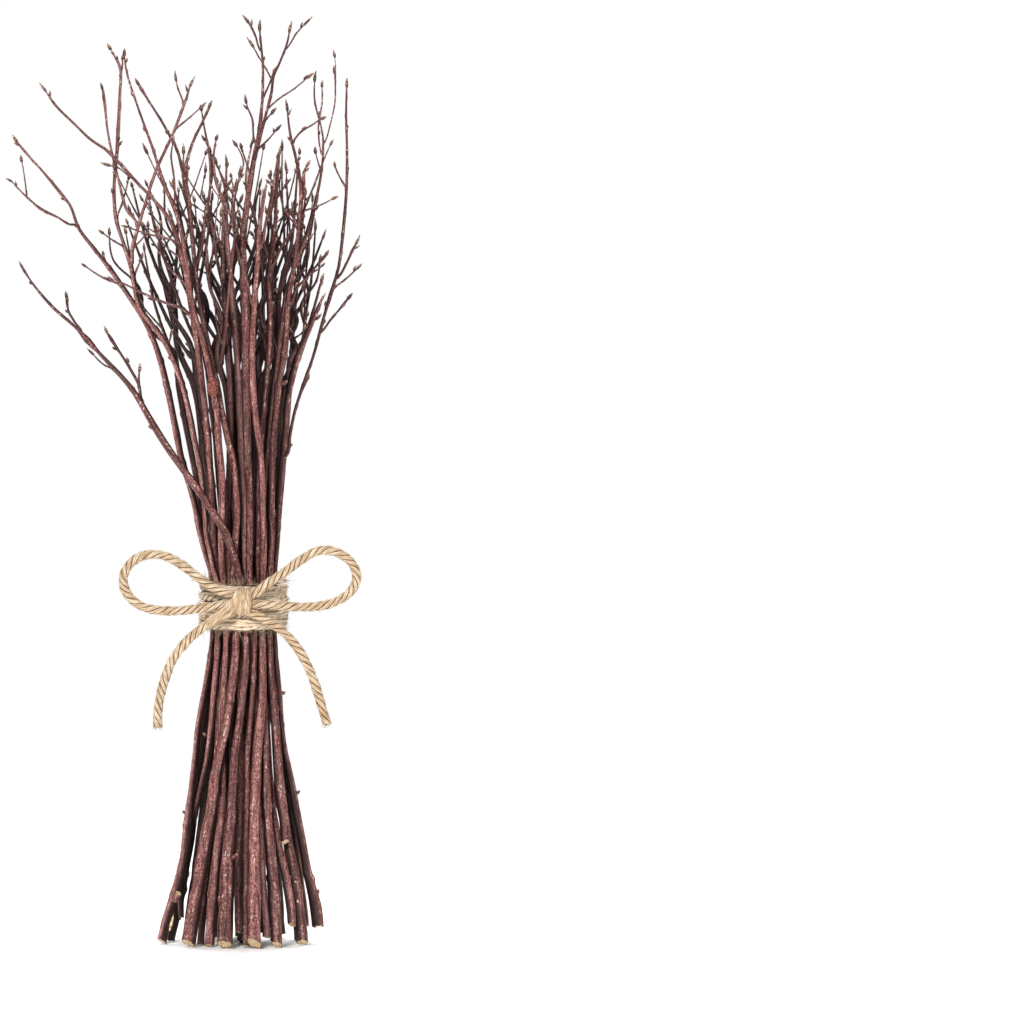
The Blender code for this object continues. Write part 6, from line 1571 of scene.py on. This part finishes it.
bandPlan = dict(
    inside=16.2,         # radius of the stems that it goes round
    low=145.6,           # height of the lowest turn, less one pitch
    pitch=4.15,
    turns=5,
    jog=20.0,            # how quickly a turn steps up to the next, behind the knot
    slant=0.7,           # how far the upper turns tilt
    wave=0.22,
    radius=2.12,
    fuzz=5.0,
    # The band's twine is painted paler than the loops', as painted light against the shade the loops cast on
    # it.
    tone=1.25,
    loose=44,            # yarns that have worked loose
    strays=(420, 200),   # fibres along the upper and the lower rim
)
strayPlan = dict(length=(2.0, 6.5), thick=0.10, rise=0.5, lie=0.8, stray=0.45, bend=0.7, back=-1)


def makeBand():
    # Five turns of twine wound round the stems: level rings of radius inside + twine radius, each rising to
    # the next by half a pitch of tanh(jog n) each way where n turns are whole, which is behind the knot.
    # Height and radius wander by the wave. Yarns and fibres that have worked loose lie over them, as a
    # piece of their own.
    random = np.random.default_rng(71)
    look = bandPlan
    n = np.linspace(-0.06, look["turns"] + 0.06, 48 * look["turns"] + 1)
    phi = 2 * math.pi * n
    angle = phi - math.pi / 2
    whole = np.clip(np.round(n), 1, look["turns"] - 1)
    level = whole + 0.5 * np.tanh(look["jog"] * (n - whole))
    ends = np.clip(np.maximum(0.04 - n, n - look["turns"] + 0.04) / 0.1, 0, 1)
    wave = look["wave"]
    out = (look["inside"] + 2.0 + wave * (0.5 * np.sin(1.37 * phi + 0.6) + 0.4 * np.sin(3.1 * phi))
           - 1.6 * ends)
    high = look["low"] + look["pitch"] * level + wave * (np.sin(0.83 * phi + 1.0) + 0.6 * np.sin(2.3 * phi))
    high = high + look["slant"] * np.sin(phi + 2.3 * level) * (level > 1.6)
    route = np.stack([out * np.cos(angle), out * np.sin(angle), high], -1)
    turns, loose = Surface(), Surface()
    length = twineSurface(turns, route, (0, 0, 1), random, radius=look["radius"], fuzz=look["fuzz"],
                          tone=look["tone"])[1]
    single = dict(twinePlan, strands=1, deep=0.0, sides=10, step=0.8)
    share = np.linspace(-1, 1, 15)
    top = look["low"] + look["pitch"] * look["turns"]
    for yarn in range(look["loose"]):
        arc = share * random.uniform(0.5, 1.3) + random.uniform(-math.pi, math.pi / 2)
        rise = random.normal(0, 1.1) * share + 0.5 * np.sin(arc * 5 + yarn)
        tall = random.uniform(look["low"] + 2.5, top - 1.5)
        away = look["inside"] + 3.9 - 1.5 * np.abs(share) ** 5 + 0.2 * np.sin(3 * arc + yarn)
        route = np.stack([away * np.cos(arc), away * np.sin(arc), tall + rise], -1)
        # The loose yarns are painted paler too, as painted light against the loops' shade.
        twineSurface(loose, route, (0, 0, 1), random, plan=single, radius=random.uniform(0.4, 0.85), fuzz=2.0,
                     taper=(0.3, 0.3), tone=random.uniform(0.8, 1.3))
    edge = np.linspace(0, 2 * math.pi, 400, endpoint=False)
    rim = np.stack([np.cos(edge), np.sin(edge), 0 * edge], -1)
    past = np.stack([-np.sin(edge), np.cos(edge), 0 * edge], -1)
    for high, rise, count in ((top, 1, look["strays"][0]), (look["low"] + 0.6, -1, look["strays"][1])):
        bases = rim * (look["inside"] + 3.2) + np.array([0, 0, high + 0.6 * rise])
        hairs(loose, bases, rim + np.array([0, 0, 1.2 * rise]), past, count, strayPlan, random)
    for surface, name in ((turns, "twine_wraps_laid"), (loose, "twine_wraps_fibres")):
        piece = surface.build(name, [jute])
        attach(piece, "root")
        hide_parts("twine_wraps")
        print(name, surface.triangles(), "triangles")
    print(f"twine band {length:.1f} mm")


knotPlan = dict(
    centre=(-0.4, -24.9, 159.2),
    high=5.3,            # half height of the yarns' arcs
    deep=3.3,            # half depth
    yarn=1.0,            # radius of one yarn
    top=(-2.2, -1.3, -0.3, 0.9, 2.0, 3.0, 3.5),       # x where each yarn crosses the top, middle and foot
    middle=(-4.4, -3.0, -1.6, -0.3, 1.1, 2.4, 3.6),
    foot=(-4.8, -3.3, -2.0, -0.8, 0.6, 2.0, 3.3),
    fuzz=3.0,
)
# Yarns that leave the knot at its lower left and run down the front of the tail.
tailYarns = [
    ((-4.4, -28.6, 161.0), (-5.6, -28.9, 158.2), (-7.8, -28.4, 155.4), (-11.0, -27.6, 153.0),
     (-15.5, -26.6, 149.9)),
    ((-5.6, -28.2, 160.4), (-7.0, -28.2, 157.6), (-9.4, -27.7, 155.5), (-12.6, -27.0, 153.4),
     (-16.6, -26.2, 150.7)),
    ((-3.4, -28.4, 157.0), (-5.2, -28.3, 154.3), (-8.2, -27.6, 152.5), (-11.8, -27.0, 150.7),
     (-16.2, -26.2, 147.4)),
]


def makeKnot():
    # Yarns side by side over a core. Each is an arc of an ellipse about x, whose place in x goes from its
    # foot through its middle to its top as the sine of the turn goes from -1 to 1.
    random = np.random.default_rng(72)
    look = knotPlan
    surface = Surface()
    centre = np.array(look["centre"])
    single = dict(twinePlan, strands=1, deep=0.0, sides=14)
    turn = np.radians(np.linspace(-150, 150, 23))
    for number, places in enumerate(zip(look["foot"], look["middle"], look["top"])):
        over = np.interp(np.sin(turn), [-1, 0, 1], places) + 0.16 * np.sin(2.2 * turn + 2.4 * number)
        swell = 1 + 0.05 * math.cos(1.9 * number)
        route = centre + np.stack([over, -look["deep"] * swell * np.cos(turn),
                                   look["high"] * swell * np.sin(turn)], -1)
        thick = look["yarn"] * (0.92 + 0.16 * (number % 2))
        twineSurface(surface, route, (1, 0, 0), random, plan=single, radius=thick, phase=2.1 * number,
                     fuzz=look["fuzz"], tone=0.5 + 0.1 * math.cos(2.6 * number))
    for number, route in enumerate(tailYarns):
        twineSurface(surface, route, (0, 1, 0), random, plan=single, radius=1.05, phase=number, fuzz=2.0,
                     taper=(0.6, 0.35), tone=0.6 - 0.1 * (number == 2))
    rows, sides = 13, 20
    u = np.linspace(-0.97, 0.97, rows)
    a = 2 * math.pi * np.arange(sides) / sides
    reach = np.sqrt(1 - u ** 2)
    corners = np.stack([np.broadcast_to((centre[0] - 0.4 + 4.9 * u)[:, None], (rows, sides)),
                        centre[1] + 0.6 + 3.4 * reach[:, None] * np.cos(a)[None],
                        centre[2] + 5.4 * reach[:, None] * np.sin(a)[None]], -1)
    poles = centre + np.array([[-5.5, 0.6, 0.0], [4.7, 0.6, 0.0]])
    whole = np.vstack([corners.reshape(-1, 3), poles])
    quads, tris = gridFaces(rows, sides)
    surface.add(whole, quads, tris, np.zeros(len(quads)), np.zeros(len(tris)), grain=whole[:, [0, 2, 1]],
                node=0.6, tone=0.2)
    piece = surface.build("bow_knot_laid", [jute])
    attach(piece, "root")
    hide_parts("bow_knot")
    print("knot made")


makeBand()
makeKnot()


stagePlan = dict(
    floor="fdfcfa",
    wide=1000, below=0.05,     # mm, the floor's radius, and how far it lies under the feet
    near=0.3, far=1.0,     # metres from the middle between which the floor fades into the room
    seen=1.0, light=0.06,  # the room's brightness as seen, and as it lights
    lamps=(                # name, place in metres, size in metres, watts
        ("key", (-0.40, -1.75, 1.0), 0.36, 42.0),
        ("fill", (1.0, -1.1, 0.4), 0.8, 5.0),
        ("top", (0.0, 0.55, 1.9), 1.3, 42.0),
        ("back", (0.4, 1.6, 0.8), 0.9, 14.0),
    ),
)


def makeStage(plan):
    # A pale floor disc that fades out at its rim, a white room seen brighter than it lights, a soft key
    # light at the upper left and weaker ones at the right, above and behind.
    sides = 48
    a = 2 * math.pi * np.arange(sides) / sides
    rim = np.stack([np.cos(a), np.sin(a), 0 * a], -1) * plan["wide"]
    corners = np.vstack([rim, [[0, 0, 0]]]) - (0, 0, plan["below"])
    mesh = bpy.data.meshes.new("floor")
    mesh.from_pydata((corners * metre).tolist(), [], [[k, (k + 1) % sides, sides] for k in range(sides)])
    floor = bpy.data.objects.new("floor", mesh)
    bpy.context.scene.collection.objects.link(floor)
    material, tree, shader = newMaterial("floor_matt_white", **{
        "Roughness": 0.9, "Base Color": sRgb(plan["floor"]), "Specular IOR Level": 0.1})
    place = addNode(tree, "TexCoord").outputs["Object"]
    away = addNode(tree, "VectorMath", {0: place}, operation="LENGTH").outputs["Value"]
    fade = addNode(tree, "MapRange", {0: away, 1: plan["near"], 2: plan["far"], 3: 1.0, 4: 0.0},
                   interpolation_type="SMOOTHSTEP")
    tree.links.new(fade.outputs[0], shader.inputs["Alpha"])
    mesh.materials.append(material)
    world = bpy.data.worlds.new("room")
    world.use_nodes = True
    room = world.node_tree
    seen = addNode(room, "LightPath").outputs["Is Camera Ray"]
    strength = addNode(room, "MapRange", {
        0: seen, 1: 0.0, 2: 1.0, 3: plan["light"], 4: plan["seen"]}).outputs[0]
    room.nodes["Background"].inputs["Color"].default_value = (1, 1, 1, 1)
    room.links.new(strength, room.nodes["Background"].inputs["Strength"])
    bpy.context.scene.world = world
    for name, at, size, power in plan["lamps"]:
        data = bpy.data.lights.new(name, "AREA")
        data.size = size
        data.energy = power
        lamp = bpy.data.objects.new(name, data)
        lamp.location = at
        to = np.array((0.0, 0.0, 0.2)) - np.array(at)
        lamp.rotation_euler = (math.atan2(math.hypot(to[0], to[1]), -to[2]), 0, math.atan2(-to[0], to[1]))
        bpy.context.scene.collection.objects.link(lamp)
    view = bpy.context.scene.view_settings
    view.view_transform = "Standard"
    view.look = "None"


makeStage(stagePlan)
print("stage and lights made")
